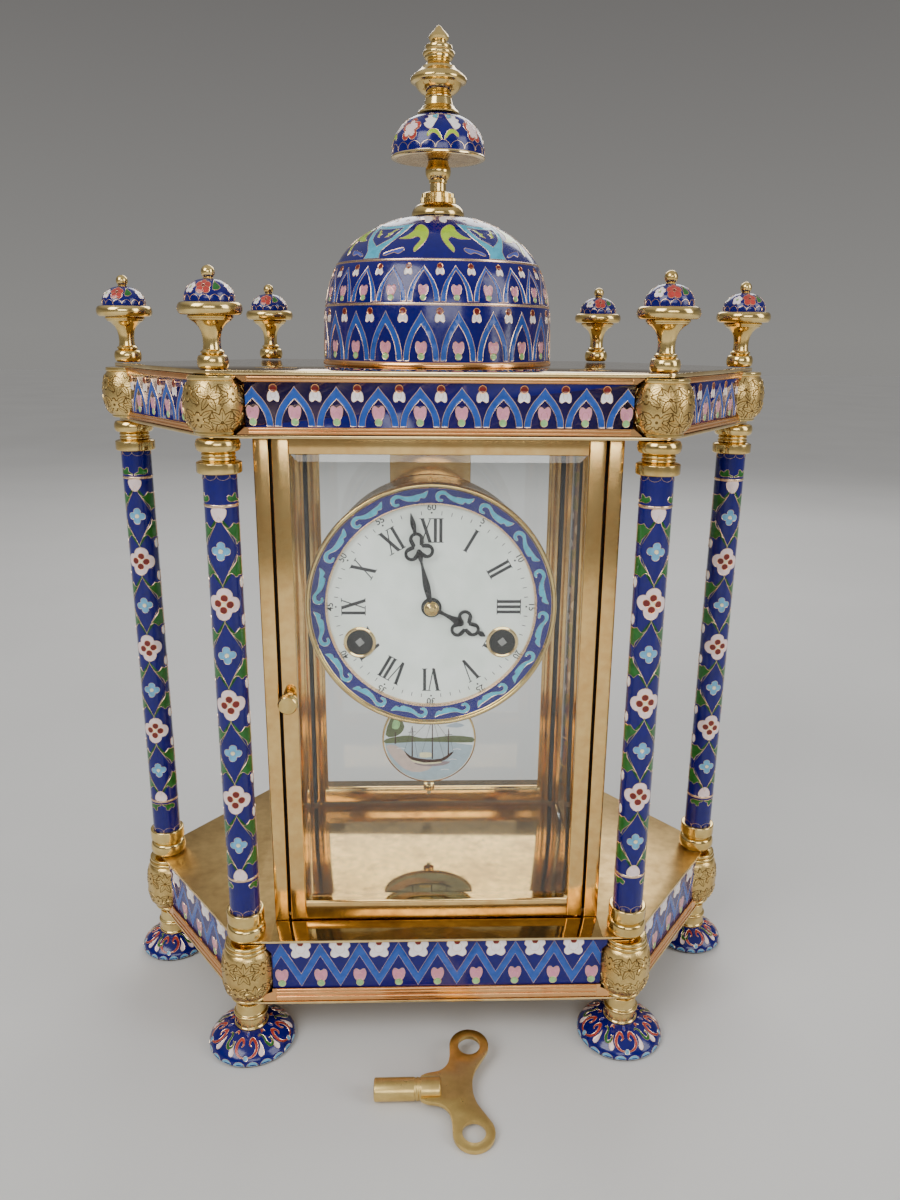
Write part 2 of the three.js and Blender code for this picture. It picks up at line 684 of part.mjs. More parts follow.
// A door about the middle of its bottom edge, its front face at y = 0 and its pins on the right.
function doorFrame(knobHole) {
  const sight = rectangle(DOOR_HALF_WIDTH - DOOR_STILE, DOOR_BOTTOM_RAIL, DOOR_HEIGHT - DOOR_TOP_RAIL);
  const lap = DOOR_REBATE + GAP;
  const rebate = rectangle(
    DOOR_HALF_WIDTH - DOOR_STILE + lap,
    DOOR_BOTTOM_RAIL - lap,
    DOOR_HEIGHT - DOOR_TOP_RAIL + lap,
  );
  const pinReach = DOOR_END_GAP + PLATE_THICKNESS - GAP;
  const frame = joined(
    frameLayer(sight, 0, DOOR_LIP + 0.5),
    frameLayer(rebate, DOOR_LIP, DOOR_THICKNESS),
    rodAboutZ(HINGE_PIN_X, HINGE_PIN_Y, HINGE_PIN_RADIUS, -pinReach, 3),
    rodAboutZ(HINGE_PIN_X, HINGE_PIN_Y, HINGE_PIN_RADIUS, DOOR_HEIGHT - 3, DOOR_HEIGHT + pinReach),
  );
  if (!knobHole) {
    return frame;
  }
  const bore = rodAboutY(knobX, knobZ, KNOB_SHAFT_RADIUS + GAP, -1, DOOR_THICKNESS + 1);
  return cut(frame, bore);
}

function doorGlass() {
  const halfWidth = DOOR_HALF_WIDTH - DOOR_STILE + DOOR_REBATE;
  const y0 = DOOR_LIP + 0.5 + GAP;
  const bottom = DOOR_BOTTOM_RAIL - DOOR_REBATE;
  const top = DOOR_HEIGHT - DOOR_TOP_RAIL + DOOR_REBATE;
  return block(-halfWidth, halfWidth, y0, DOOR_THICKNESS - GAP, bottom, top);
}

const knobX = DOOR_STILE / 2 - DOOR_HALF_WIDTH;
const knobZ = DOOR_HEIGHT - KNOB_DROP;
const frontDoor = new THREE.Group();
frontDoor.position.set(0, CASE_FRONT_Y, Z_CASE + DOOR_END_GAP);
clock.add(frontDoor);
add(frontDoor, 'door_frame', doorFrame(true), BRASS);
add(frontDoor, 'door_glass', doorGlass(), GLASS);

// The knob, its shaft through the stile, and the latch blade. The blade stands upright when the
// latch is free, and a quarter turn brings it behind the post.
const latchY = POST_SIZE + GAP;
const latchReach = DOOR_SIDE_GAP + DOOR_STILE / 2 + LATCH_OVERLAP;
const knobTurning = turnedAboutY([
  [0, -KNOB_LENGTH],
  [0.6 * KNOB_RADIUS, -0.94 * KNOB_LENGTH],
  [KNOB_RADIUS, -0.68 * KNOB_LENGTH],
  [0.8 * KNOB_RADIUS, -0.42 * KNOB_LENGTH],
  [0.4 * KNOB_RADIUS, -0.26 * KNOB_LENGTH],
  [0.56 * KNOB_RADIUS, -GAP],
  [KNOB_SHAFT_RADIUS, -GAP],
  [KNOB_SHAFT_RADIUS, latchY + LATCH_THICKNESS],
  [0, latchY + LATCH_THICKNESS],
], SPIRE_FACETS);
const latchBlade = block(
  -LATCH_WIDTH / 2,
  LATCH_WIDTH / 2,
  latchY,
  latchY + LATCH_THICKNESS,
  -LATCH_WIDTH / 2,
  latchReach,
);
add(frontDoor, 'door_knob', joined(knobTurning, latchBlade), BRASS, knobX, 0, knobZ);

const backDoor = new THREE.Group();
backDoor.position.set(0, CASE_BACK_Y, Z_CASE + DOOR_END_GAP);
backDoor.rotation.z = Math.PI;
clock.add(backDoor);
add(backDoor, 'back_door_frame', doorFrame(false), BRASS);
add(backDoor, 'back_door_glass', doorGlass(), GLASS);

// ---- Dial, hands and movement, about the centre of the dial ----

const movement = new THREE.Group();
movement.position.set(MOVEMENT_X, MOVEMENT_Y, MOVEMENT_Z);
clock.add(movement);

const ringFace = 1.5;
const ringBack = ringFace + 1.8;
const rimInside = BEZEL_RADIUS - BEZEL_RIM;
add(movement, 'bezel', ringAboutY([
  [DIAL_RADIUS, ringFace],
  [BEZEL_RADIUS - 2, ringFace],
  [BEZEL_RADIUS - 1.6, 0],
  [BEZEL_RADIUS - 0.6, 0],
  [BEZEL_RADIUS, 0.8],
  [BEZEL_RADIUS, BEZEL_DEPTH],
  [rimInside, BEZEL_DEPTH],
  [rimInside, ringBack],
  [DIAL_RADIUS, ringBack],
], DIAL_FACETS), BRASS);

const dialFace = ringBack + GAP;
const dialBack = dialFace + DIAL_THICKNESS;
const dialShape = new THREE.Shape().absarc(0, 0, DIAL_RADIUS + DIAL_LAP, 0, 2 * Math.PI, false);
dialShape.holes.push(circlePath(0, 0, HOUR_PIPE_RADIUS + RUN));
for (const side of [-1, 1]) {
  dialShape.holes.push(circlePath(side * WINDING_X, -WINDING_DROP, GROMMET_RADIUS - 1, 12));
}
const grommets = [-1, 1].map((side) => ringAboutY([
  [WINDING_HOLE_RADIUS, dialFace - 0.6],
  [GROMMET_RADIUS, dialFace - 0.6],
  [GROMMET_RADIUS, dialBack + 0.6],
  [WINDING_HOLE_RADIUS, dialBack + 0.6],
], 12).translate(side * WINDING_X, 0, -WINDING_DROP));
add(movement, 'dial', joined(frontSlab(dialShape, dialFace, dialBack, 8), ...grommets), WHITE_ENAMEL);

// A hand that points up: a hub, a tapered blade, and three lobes near its tip.
function hand(length, hubRadius, y0, extra) {
  const lobe = 0.07 * length;
  const lobeAt = 0.72 * length;
  const blade = shapeOf([
    [-1.2, 0],
    [1.2, 0],
    [0.9, lobeAt],
    [0, length],
    [-0.9, lobeAt],
  ]);
  const lobes = [[-lobe, 0], [lobe, 0], [0, 1.2 * lobe]];
  return joined(
    frontSlab(blade, y0, y0 + HAND_THICKNESS),
    rodAboutY(0, 0, hubRadius, y0, y0 + HAND_THICKNESS, 12),
    ...lobes.map(([x, z]) => rodAboutY(x, lobeAt + z, lobe, y0, y0 + HAND_THICKNESS)),
    extra,
  );
}

const hourY = dialFace - 0.9 - HAND_THICKNESS;
const minuteY = hourY - 0.9 - HAND_THICKNESS;
const pipeHole = rodAboutY(0, 0, CENTRE_ARBOR_RADIUS + RUN, minuteY, FRONT_PLATE_Y, 12);
const pipe = rodAboutY(0, 0, HOUR_PIPE_RADIUS, hourY, FRONT_PLATE_Y - RUN, 12);
const hourHand = cut(hand(HOUR_HAND_LENGTH, 5.3, hourY, pipe), pipeHole);
const centreArbor = turnedAboutY([
  [0, minuteY - 3],
  [3.9, minuteY - 2.4],
  [3.9, minuteY],
  [CENTRE_ARBOR_RADIUS, minuteY],
  [CENTRE_ARBOR_RADIUS, BACK_PLATE_Y - RUN],
  [0, BACK_PLATE_Y - RUN],
], 12);
const minuteHand = hand(MINUTE_HAND_LENGTH, 4.4, minuteY, centreArbor);

function turnHand(geometry, degrees) {
  return geometry.rotateY(THREE.MathUtils.degToRad(degrees));
}

add(movement, 'hour_hand', turnHand(hourHand, HOUR_HAND_ANGLE), BLACK_STEEL);
add(movement, 'minute_hand', turnHand(minuteHand, MINUTE_HAND_ANGLE), BLACK_STEEL);

const drumFront = ringBack + GAP;
const drumInside = DRUM_CASE_RADIUS - DRUM_CASE_WALL;
add(movement, 'movement_drum', ringAboutY([
  [drumInside, drumFront],
  [DRUM_CASE_RADIUS, drumFront],
  [DRUM_CASE_RADIUS, drumFront + DRUM_CASE_LENGTH],
  [drumInside, drumFront + DRUM_CASE_LENGTH],
], DIAL_FACETS), BRASS);

// Two round plates on four pillars, the strap that hangs them from the canopy, the cock that
// the pendulum hangs from, and the post of the bell.
const frontPlateBack = FRONT_PLATE_Y + MOVEMENT_PLATE_THICKNESS;
const backPlateBack = BACK_PLATE_Y + MOVEMENT_PLATE_THICKNESS;
const strapBack = STRAP_Y + STRAP_THICKNESS;
const strapBottom = PENDULUM_AXIS_Z - 32;
const cockBottom = PENDULUM_AXIS_Z + 2.5;
const bellCrown = BELL_Y + BELL_DEPTH;
const canopyUnderside = MOVEMENT_DROP - GAP;
const movementBody = joined(
  rodAboutY(0, 0, MOVEMENT_PLATE_RADIUS, FRONT_PLATE_Y, frontPlateBack, 20),
  rodAboutY(0, 0, MOVEMENT_PLATE_RADIUS, BACK_PLATE_Y, backPlateBack, 20),
  ...[[-26, -38], [26, -38], [-26, 38], [26, 38]].map(
    ([x, z]) => rodAboutY(x, z, PILLAR_RADIUS, FRONT_PLATE_Y + 1, BACK_PLATE_Y + 1),
  ),
  ...[-16, 16].map((x) => rodAboutY(x, 30, PILLAR_RADIUS, BACK_PLATE_Y + 1, STRAP_Y + 1)),
  block(-STRAP_WIDTH / 2, STRAP_WIDTH / 2, STRAP_Y, strapBack, strapBottom, canopyUnderside),
  block(
    -STRAP_WIDTH / 2,
    STRAP_WIDTH / 2,
    STRAP_Y,
    STRAP_Y + STRAP_FLANGE,
    canopyUnderside - STRAP_THICKNESS,
    canopyUnderside,
  ),
  block(-4, 4, strapBack - 1, PENDULUM_Y + 8, cockBottom, cockBottom + 5),
  rodAboutY(0, -BELL_DROP, 2, BACK_PLATE_Y + 1, bellCrown + 2),
  rodAboutY(0, -BELL_DROP, 3.5, BACK_PLATE_Y + 1, bellCrown - BELL_WALL - GAP),
);
const arborHoles = [
  rodAboutY(0, 0, CENTRE_ARBOR_RADIUS + RUN, FRONT_PLATE_Y - 1, frontPlateBack + 1),
  ...[-1, 1].map((side) => rodAboutY(
    side * WINDING_X,
    -WINDING_DROP,
    ARBOR_SQUARE / 2 * Math.SQRT2 + RUN,
    FRONT_PLATE_Y - 1,
    frontPlateBack + 1,
    12,
  )),
  rodAboutY(0, PENDULUM_AXIS_Z, ARBOR_RADIUS + RUN, BACK_PLATE_Y - 1, strapBack + 1),
  rodAboutY(HAMMER_X, HAMMER_Z, HAMMER_ARBOR_RADIUS + RUN, BACK_PLATE_Y - 1, backPlateBack + 1),
];
add(movement, 'movement_frame', cut(movementBody, ...arborHoles), BRASS);

// A winding arbor with its square end behind the dial and its spring barrel between the plates.
function winder() {
  const half = ARBOR_SQUARE / 2;
  return joined(
    block(-half, half, dialBack - 0.4, frontPlateBack + 1, -half, half),
    rodAboutY(0, 0, ARBOR_RADIUS, frontPlateBack, BACK_PLATE_Y - RUN),
    rodAboutY(0, 0, BARREL_RADIUS, frontPlateBack + 3, BACK_PLATE_Y - 4, 16),
  );
}

add(movement, 'strike_winder', winder(), STEEL, -WINDING_X, 0, -WINDING_DROP);
add(movement, 'going_winder', winder(), STEEL, WINDING_X, 0, -WINDING_DROP);

// ---- Escapement and pendulum ----

const wheelPoints = [];
for (let tooth = 0; tooth < ESCAPE_TEETH; tooth += 1) {
  const angle = 2 * Math.PI * tooth / ESCAPE_TEETH;
  const root = 0.78 * ESCAPE_WHEEL_RADIUS;
  wheelPoints.push([root * Math.cos(angle - 0.2), root * Math.sin(angle - 0.2)]);
  wheelPoints.push([ESCAPE_WHEEL_RADIUS * Math.cos(angle), ESCAPE_WHEEL_RADIUS * Math.sin(angle)]);
}
const wheelDisc = frontSlab(shapeOf(wheelPoints), ESCAPEMENT_Y, ESCAPEMENT_Y + 2);
const wheelArbor = rodAboutY(0, 0, 1.5, frontPlateBack + RUN, BACK_PLATE_Y - RUN);
add(movement, 'escape_wheel', joined(wheelDisc, wheelArbor), BRASS, 0, 0, ESCAPE_WHEEL_Z);

// The anchor turns on the pendulum's axis. Its crutch ends in a fork round the pendulum rod.
const palletX = 0.72 * ESCAPE_WHEEL_RADIUS;
const palletZ = ESCAPE_WHEEL_Z + ESCAPE_WHEEL_RADIUS + 1 - PENDULUM_AXIS_Z;
const anchorShape = shapeOf([
  [-3, 3],
  [-palletX - 3, palletZ],
  [-palletX, palletZ],
  [-2, palletZ + 6],
  [2, palletZ + 6],
  [palletX, palletZ],
  [palletX + 3, palletZ],
  [3, 3],
]);
const crutchFront = strapBack + 2;
const crutchBack = crutchFront + 2;
const forkHalf = PENDULUM_ROD_RADIUS + RUN;
const anchorBody = joined(
  frontSlab(anchorShape, ESCAPEMENT_Y, ESCAPEMENT_Y + 2),
  rodAboutY(0, 0, ARBOR_RADIUS, frontPlateBack + RUN, crutchBack),
  block(-2, 2, crutchFront, crutchBack, -CRUTCH_LENGTH, 1),
  block(-5, 5, crutchFront, PENDULUM_Y + 4, -CRUTCH_LENGTH, 2.5 - CRUTCH_LENGTH),
);
const forkSlot = block(
  -forkHalf,
  forkHalf,
  PENDULUM_Y - PENDULUM_ROD_RADIUS - 1,
  PENDULUM_Y + 5,
  -CRUTCH_LENGTH - 1,
  3.5 - CRUTCH_LENGTH,
);
add(movement, 'anchor', cut(anchorBody, forkSlot), STEEL, 0, 0, PENDULUM_AXIS_Z);

const bobZ = Z_CASE + BOB_CLEARANCE + BOB_RADIUS - MOVEMENT_Z - PENDULUM_AXIS_Z;
const nutTop = bobZ - BOB_RADIUS - 1.5;
const rodTurning = turned([
  [0, nutTop - 7],
  [PENDULUM_ROD_RADIUS, nutTop - 7],
  [PENDULUM_ROD_RADIUS, nutTop - 4],
  [RATING_NUT_RADIUS, nutTop - 4],
  [RATING_NUT_RADIUS, nutTop],
  [PENDULUM_ROD_RADIUS, nutTop],
  [PENDULUM_ROD_RADIUS, -5],
  [0, -5],
], SMALL_FACETS);
const suspension = block(-4, 4, -1.5, 1.5, -6, 1.5);
add(movement, 'pendulum_rod', joined(rodTurning, suspension), BRASS, 0, PENDULUM_Y, PENDULUM_AXIS_Z);

const halfBob = BOB_THICKNESS / 2;
const bobLens = turnedAboutY([
  [0, -halfBob],
  [0.85 * BOB_RADIUS, -0.8 * halfBob],
  [BOB_RADIUS, -0.4 * halfBob],
  [BOB_RADIUS, 0.4 * halfBob],
  [0.85 * BOB_RADIUS, 0.8 * halfBob],
  [0, halfBob],
], DIAL_FACETS);
const bobBore = rodAboutZ(0, 0, PENDULUM_ROD_RADIUS + GAP, -BOB_RADIUS - 1, BOB_RADIUS + 1);
add(movement, 'pendulum_bob', cut(bobLens, bobBore), WHITE_ENAMEL, 0, PENDULUM_Y, PENDULUM_AXIS_Z + bobZ);

// ---- Bell and hammer ----

const bellInside = BELL_RADIUS - BELL_WALL;
const boreInCrown = 2 + GAP;
add(movement, 'bell', ringAboutY([
  [bellInside, BELL_Y],
  [BELL_RADIUS, BELL_Y],
  [0.9 * BELL_RADIUS, BELL_Y + 0.6 * BELL_DEPTH],
  [0.6 * BELL_RADIUS, bellCrown],
  [boreInCrown, bellCrown],
  [boreInCrown, bellCrown - BELL_WALL],
  [0.6 * BELL_RADIUS - 1, bellCrown - BELL_WALL],
  [0.9 * BELL_RADIUS - BELL_WALL, BELL_Y + 0.6 * BELL_DEPTH - 0.5],
], 20), BRASS, 0, 0, -BELL_DROP);

const headX = BELL_RADIUS + HAMMER_CLEARANCE - HAMMER_X;
const headZ = -BELL_DROP - HAMMER_Z;
const hammerArm = shapeOf([[-1.5, 0], [1.5, 0], [headX + 4.5, headZ], [headX + 1.5, headZ]]);
add(movement, 'hammer', joined(
  rodAboutY(0, 0, HAMMER_ARBOR_RADIUS, frontPlateBack + RUN, BELL_Y + 6),
  rodAboutY(0, 0, 3, BELL_Y + 2, BELL_Y + 6),
  frontSlab(hammerArm, BELL_Y + 3, BELL_Y + 5),
  block(headX, headX + 6, BELL_Y, BELL_Y + 8, headZ - 4, headZ + 4),
), STEEL, HAMMER_X, 0, HAMMER_Z);

// ---- Winding key, lying in front on its barrel and on the edge of its near wing ----

const keyTilt = Math.asin((KEY_BARREL_RADIUS - KEY_PLATE / 2) / (KEY_SPAN / 2));
const wingY = KEY_SPAN / 2 - KEY_WING_RADIUS;
const wingX = KEY_LENGTH - KEY_WING_RADIUS;
const keyPlateShape = new THREE.Shape();
keyPlateShape.moveTo(KEY_BARREL_LENGTH - 6, -KEY_BARREL_RADIUS);
keyPlateShape.lineTo(wingX - KEY_WING_RADIUS, -wingY + 2);
keyPlateShape.absarc(wingX, -wingY, KEY_WING_RADIUS, Math.PI, 2.3 * Math.PI, false);
keyPlateShape.lineTo(KEY_BARREL_LENGTH + 4, 0);
keyPlateShape.absarc(wingX, wingY, KEY_WING_RADIUS, -0.3 * Math.PI, Math.PI, false);
keyPlateShape.lineTo(wingX - KEY_WING_RADIUS, wingY - 2);
keyPlateShape.lineTo(KEY_BARREL_LENGTH - 6, KEY_BARREL_RADIUS);
keyPlateShape.holes.push(circlePath(wingX, -wingY, KEY_HOLE_RADIUS));
keyPlateShape.holes.push(circlePath(wingX, wingY, KEY_HOLE_RADIUS));
const keyPlate = slab(keyPlateShape, -KEY_PLATE / 2, KEY_PLATE / 2, 7);
const keyBarrel = turned([
  [0, 0],
  [KEY_BARREL_RADIUS, 0],
  [KEY_BARREL_RADIUS, 6],
  [KEY_BARREL_RADIUS - 0.8, 7],
  [KEY_BARREL_RADIUS - 0.8, 8.5],
  [KEY_BARREL_RADIUS, 9.5],
  [KEY_BARREL_RADIUS, KEY_BARREL_LENGTH - 2],
  [KEY_BARREL_RADIUS - 2, KEY_BARREL_LENGTH],
  [0, KEY_BARREL_LENGTH],
], 16).rotateY(Math.PI / 2);
const halfSocket = KEY_SOCKET / 2;
const keySocket = block(-1, KEY_SOCKET_DEPTH, -halfSocket, halfSocket, -halfSocket, halfSocket);
const key = new THREE.Group();
key.position.set(KEY_X, -CORNER_Y - KEY_SETBACK, KEY_BARREL_RADIUS);
key.rotation.x = keyTilt;
clock.add(key);
add(key, 'winding_key', cut(joined(keyPlate, keyBarrel), keySocket), BRASS);

// ---- Origin under the middle of the clock and the key together ----

clock.updateMatrixWorld(true);
const extent = new THREE.Box3().setFromObject(clock, true);
clock.position.set(
  -(extent.min.x + extent.max.x) / 2,
  -(extent.min.y + extent.max.y) / 2,
  -extent.min.z,
);

export default clock;
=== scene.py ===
import bmesh
import bpy
import math
from mathutils import Matrix, Vector


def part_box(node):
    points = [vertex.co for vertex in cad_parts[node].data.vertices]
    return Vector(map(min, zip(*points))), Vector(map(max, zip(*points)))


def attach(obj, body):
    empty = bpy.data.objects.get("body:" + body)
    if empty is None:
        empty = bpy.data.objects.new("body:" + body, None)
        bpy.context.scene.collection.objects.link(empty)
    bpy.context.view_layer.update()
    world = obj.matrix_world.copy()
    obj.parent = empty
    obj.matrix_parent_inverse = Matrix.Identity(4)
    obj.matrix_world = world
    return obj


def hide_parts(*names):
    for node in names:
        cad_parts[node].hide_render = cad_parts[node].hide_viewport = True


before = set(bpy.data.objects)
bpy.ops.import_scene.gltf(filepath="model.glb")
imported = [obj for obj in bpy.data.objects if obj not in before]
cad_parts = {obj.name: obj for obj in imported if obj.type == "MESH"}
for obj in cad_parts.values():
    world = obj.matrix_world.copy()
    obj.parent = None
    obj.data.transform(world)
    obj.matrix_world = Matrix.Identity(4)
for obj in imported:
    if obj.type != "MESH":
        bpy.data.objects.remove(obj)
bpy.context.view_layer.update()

# Mantel clock in brass and cloisonne enamel. Shapes are worked out in millimetres and turned
# into metres when a piece is finished.
MM = 0.001
TURN = 2 * math.pi


# ---- Camera ----

def aim_camera(place, yaw, pitch, roll, lens):
    """A camera at a place in millimetres, turned right of straight ahead, down, and rolled."""
    yaw, pitch, roll = (math.radians(angle) for angle in (yaw, pitch, roll))
    ahead = Vector((math.sin(yaw) * math.cos(pitch), math.cos(yaw) * math.cos(pitch), -math.sin(pitch)))
    right = Vector((math.cos(yaw), -math.sin(yaw), 0))
    up = right.cross(ahead)
    right_rolled = math.cos(roll) * right + math.sin(roll) * up
    up_rolled = math.cos(roll) * up - math.sin(roll) * right
    camera = bpy.data.objects.new("camera", bpy.data.cameras.new("camera"))
    bpy.context.scene.collection.objects.link(camera)
    turn = Matrix((right_rolled, up_rolled, -ahead)).transposed().to_4x4()
    camera.matrix_world = Matrix.Translation(Vector(place) * MM) @ turn
    camera.data.lens = lens
    camera.data.sensor_width = 36
    camera.data.clip_start = 0.01
    camera.data.clip_end = 20
    bpy.context.scene.camera = camera


aim_camera((-10.4, -490.9, 376.6), 2.04, 15.96, 0.53, 28.0)


# ---- Finishes ----

FINISHES = []
FINISH_NUMBER = {}


def tint(red, green, blue):
    """A colour given in 0 to 255 as the shader wants it."""
    return [((c / 255 + 0.055) / 1.055) ** 2.4 if c > 10 else c / 255 / 12.92
            for c in (red, green, blue)] + [1]


class Finish:
    """A finish under construction: one shader, and the textures that feed it."""

    def __init__(self, name):
        self.material = bpy.data.materials.new(name)
        self.material.use_nodes = True
        self.nodes = self.material.node_tree.nodes
        self.links = self.material.node_tree.links
        self.shader = self.nodes["Principled BSDF"]
        self.place = self.nodes.new("ShaderNodeTexCoord").outputs["Object"]
        FINISH_NUMBER[name] = len(FINISHES)
        FINISHES.append(self.material)

    def set(self, **values):
        for socket, value in values.items():
            self.shader.inputs[socket.replace("_", " ")].default_value = value
        return self

    def stretched(self, scale):
        mapping = self.nodes.new("ShaderNodeMapping")
        mapping.inputs["Scale"].default_value = scale
        self.links.new(self.place, mapping.inputs["Vector"])
        return mapping.outputs["Vector"]

    def noise(self, size, detail=3.0, roughness=0.5, vector=None):
        """Cloudy noise with patches of about the given size in millimetres."""
        node = self.nodes.new("ShaderNodeTexNoise")
        node.inputs["Scale"].default_value = 1 / (size * MM)
        node.inputs["Detail"].default_value = detail
        node.inputs["Roughness"].default_value = roughness
        self.links.new(vector or self.place, node.inputs["Vector"])
        return node.outputs["Fac"]

    def spots(self, size, vector=None):
        node = self.nodes.new("ShaderNodeTexVoronoi")
        node.inputs["Scale"].default_value = 1 / (size * MM)
        self.links.new(vector or self.place, node.inputs["Vector"])
        return node.outputs["Distance"]

    def ramp(self, factor, *stops):
        """Colours or greys at places from 0 to 1 along a factor."""
        node = self.nodes.new("ShaderNodeValToRGB")
        elements = node.color_ramp.elements
        while len(elements) < len(stops):
            elements.new(0.5)
        for element, (place, colour) in zip(elements, stops):
            element.position = place
            element.color = colour if isinstance(colour, (list, tuple)) else (colour, colour, colour, 1)
        self.links.new(factor, node.inputs["Fac"])
        return node.outputs["Color"]

    def mixed(self, factor, first, second, blend="MIX"):
        node = self.nodes.new("ShaderNodeMix")
        node.data_type = "RGBA"
        node.blend_type = blend
        for socket, value in ((node.inputs["Factor"], factor), (node.inputs[6], first),
                (node.inputs[7], second)):
            if isinstance(value, bpy.types.NodeSocket):
                self.links.new(value, socket)
            else:
                socket.default_value = value
        return node.outputs[2]

    def feed(self, output, socket):
        self.links.new(output, self.shader.inputs[socket])
        return self

    def bump(self, height, strength, depth):
        """Raise and sink the surface by up to the given depth in millimetres."""
        node = self.nodes.new("ShaderNodeBump")
        node.inputs["Strength"].default_value = strength
        node.inputs["Distance"].default_value = depth * MM
        self.links.new(height, node.inputs["Height"])
        if self.shader.inputs["Normal"].links:
            self.links.new(self.shader.inputs["Normal"].links[0].from_socket, node.inputs["Normal"])
        self.links.new(node.outputs["Normal"], self.shader.inputs["Normal"])
        return self


def metal(name, bright, dull, gloss, rubbed=0.1, grain=(1, 1, 1), dents=0.03):
    """Bare metal: a polish that varies, patches gone dull, and fine rubbing marks along the grain."""
    work = Finish(name)
    work.set(Metallic=1.0)
    patches = work.noise(26, detail=5, roughness=0.62)
    smears = work.noise(5, detail=4)
    stain = work.ramp(work.mixed(0.4, patches, smears), (0.38, bright), (0.68, dull))
    work.feed(stain, "Base Color")
    rubbing = work.noise(0.9, detail=6, roughness=0.7, vector=work.stretched(grain))
    work.feed(work.ramp(work.mixed(0.5, smears, rubbing), (0.3, gloss), (0.72, gloss + rubbed)), "Roughness")
    work.bump(rubbing, dents, 0.05)
    return work


def enamel(name, colour, depth=0.72):
    """Fired glass enamel: a little uneven in colour, with pinholes and a wet polish."""
    work = Finish(name)
    dark = [c * depth for c in colour[:3]] + [1]
    cloud = work.noise(3.5, detail=4, roughness=0.6)
    work.feed(work.ramp(cloud, (0.36, dark), (0.62, colour)), "Base Color")
    work.set(IOR=1.45, Coat_Weight=0.12, Coat_Roughness=0.04)
    work.feed(work.ramp(work.noise(1.4, detail=3), (0.3, 0.1), (0.7, 0.24)), "Roughness")
    pits = work.ramp(work.spots(1.3), (0.05, 0.0), (0.16, 1.0))
    work.bump(pits, 0.12, 0.03)
    work.bump(work.noise(2.2, detail=2), 0.1, 0.06)
    return work


metal("turned_brass", tint(238, 210, 140), tint(206, 170, 98), 0.09, 0.13, grain=(1, 1, 7))
metal("plate_brass", tint(190, 156, 96), tint(146, 116, 70), 0.03, 0.07, dents=0.006)
metal("satin_brass", tint(214, 180, 118), tint(172, 140, 88), 0.3, 0.14, dents=0.01)
metal("edge_brass", tint(250, 224, 164), tint(224, 188, 124), 0.08, 0.12)
metal("case_brass", tint(244, 206, 136), tint(220, 172, 104), 0.08, 0.12, grain=(5, 5, 0.6), dents=0.012)
metal("rail_copper", tint(252, 192, 128), tint(236, 164, 104), 0.13, 0.09, dents=0.01)
metal("movement_brass", tint(206, 170, 104), tint(150, 118, 66), 0.2, 0.2, grain=(1, 1, 3))
metal("key_brass", tint(230, 200, 128), tint(196, 164, 98), 0.24, 0.18, dents=0.05)
metal("wire_gold", tint(244, 214, 180), tint(226, 178, 140), 0.2, 0.15)
metal("steel", tint(176, 176, 174), tint(120, 118, 114), 0.24, 0.2)
metal("dull_steel", tint(120, 116, 108), tint(70, 66, 60), 0.32, 0.2)

engraved = metal("engraved_brass", tint(230, 200, 130), tint(192, 156, 92), 0.22, 0.16)
engraved.bump(engraved.spots(0.7), 0.45, 0.1)
# Dark punched brass: a stippled ground, its darkness partly painted shade where it rings the raised shapes.
ground = metal("punched_brass_and_painted_shade", tint(124, 98, 54), tint(84, 64, 34), 0.34, 0.2)
ground.bump(ground.spots(0.85), 0.5, 0.16)

enamel("navy", tint(5, 3, 104), depth=0.82)
enamel("mid_blue", tint(40, 84, 172))
enamel("turquoise", tint(70, 176, 204))
enamel("light_blue", tint(108, 176, 214))
enamel("periwinkle", tint(74, 88, 176))
enamel("white_petal", tint(248, 242, 242), depth=0.9)
enamel("pale_pink", tint(242, 218, 216), depth=0.88)
enamel("pink", tint(222, 148, 170), depth=0.84)
enamel("dark_red", tint(116, 30, 24))
enamel("brick_red", tint(180, 60, 52))
enamel("light_green", tint(158, 210, 138))
enamel("leaf_green", tint(34, 104, 38), depth=0.7)
enamel("yellow_green", tint(170, 206, 44), depth=0.8)
enamel("cream", tint(238, 232, 190), depth=0.86)
enamel("sky_white", tint(236, 240, 242), depth=0.94)
enamel("cloud_grey", tint(176, 190, 206), depth=0.94)
enamel("hill_green", tint(92, 102, 62), depth=0.8)
enamel("water_grey", tint(170, 190, 204), depth=0.9)
enamel("dusk_grey", tint(150, 132, 138), depth=0.86)
enamel("hull_brown", tint(62, 34, 24))
enamel("sand", tint(212, 190, 182), depth=0.88)

def coloured(name, cloud, start, dark, light, rough=None):
    """A finish clouded between two colours, its roughness spotted between two values."""
    work = Finish(name)
    work.feed(work.ramp(work.noise(*cloud), (start, tint(*dark)), (0.7, tint(*light))), "Base Color")
    if rough:
        size, detail, low, high = rough
        work.feed(work.ramp(work.noise(size, detail), (0.3, low), (0.7, high)), "Roughness")
    return work


dial_white = coloured("dial_white", (14, 5), 0.35, (222, 226, 218), (236, 238, 232), (2.0, 3.0, 0.16, 0.28))
dial_white.set(IOR=1.5, Coat_Weight=0.3, Coat_Roughness=0.05)
dial_white.bump(dial_white.noise(1.2, detail=3), 0.05, 0.03)
ink = coloured("printed_black", (0.7,), 0.3, (18, 18, 20), (38, 38, 42))
ink.set(Roughness=0.35)
black = coloured("black_steel", (2.5, 4), 0.35, (8, 9, 11), (22, 24, 27), (0.8, 3, 0.22, 0.42))
black.set(Metallic=0.4, Specular_IOR_Level=0.6)
black.bump(black.noise(0.5), 0.08, 0.03)
hollow = coloured("shadow_black", (3,), 0.3, (8, 8, 9), (18, 17, 16))
hollow.set(Roughness=0.7)


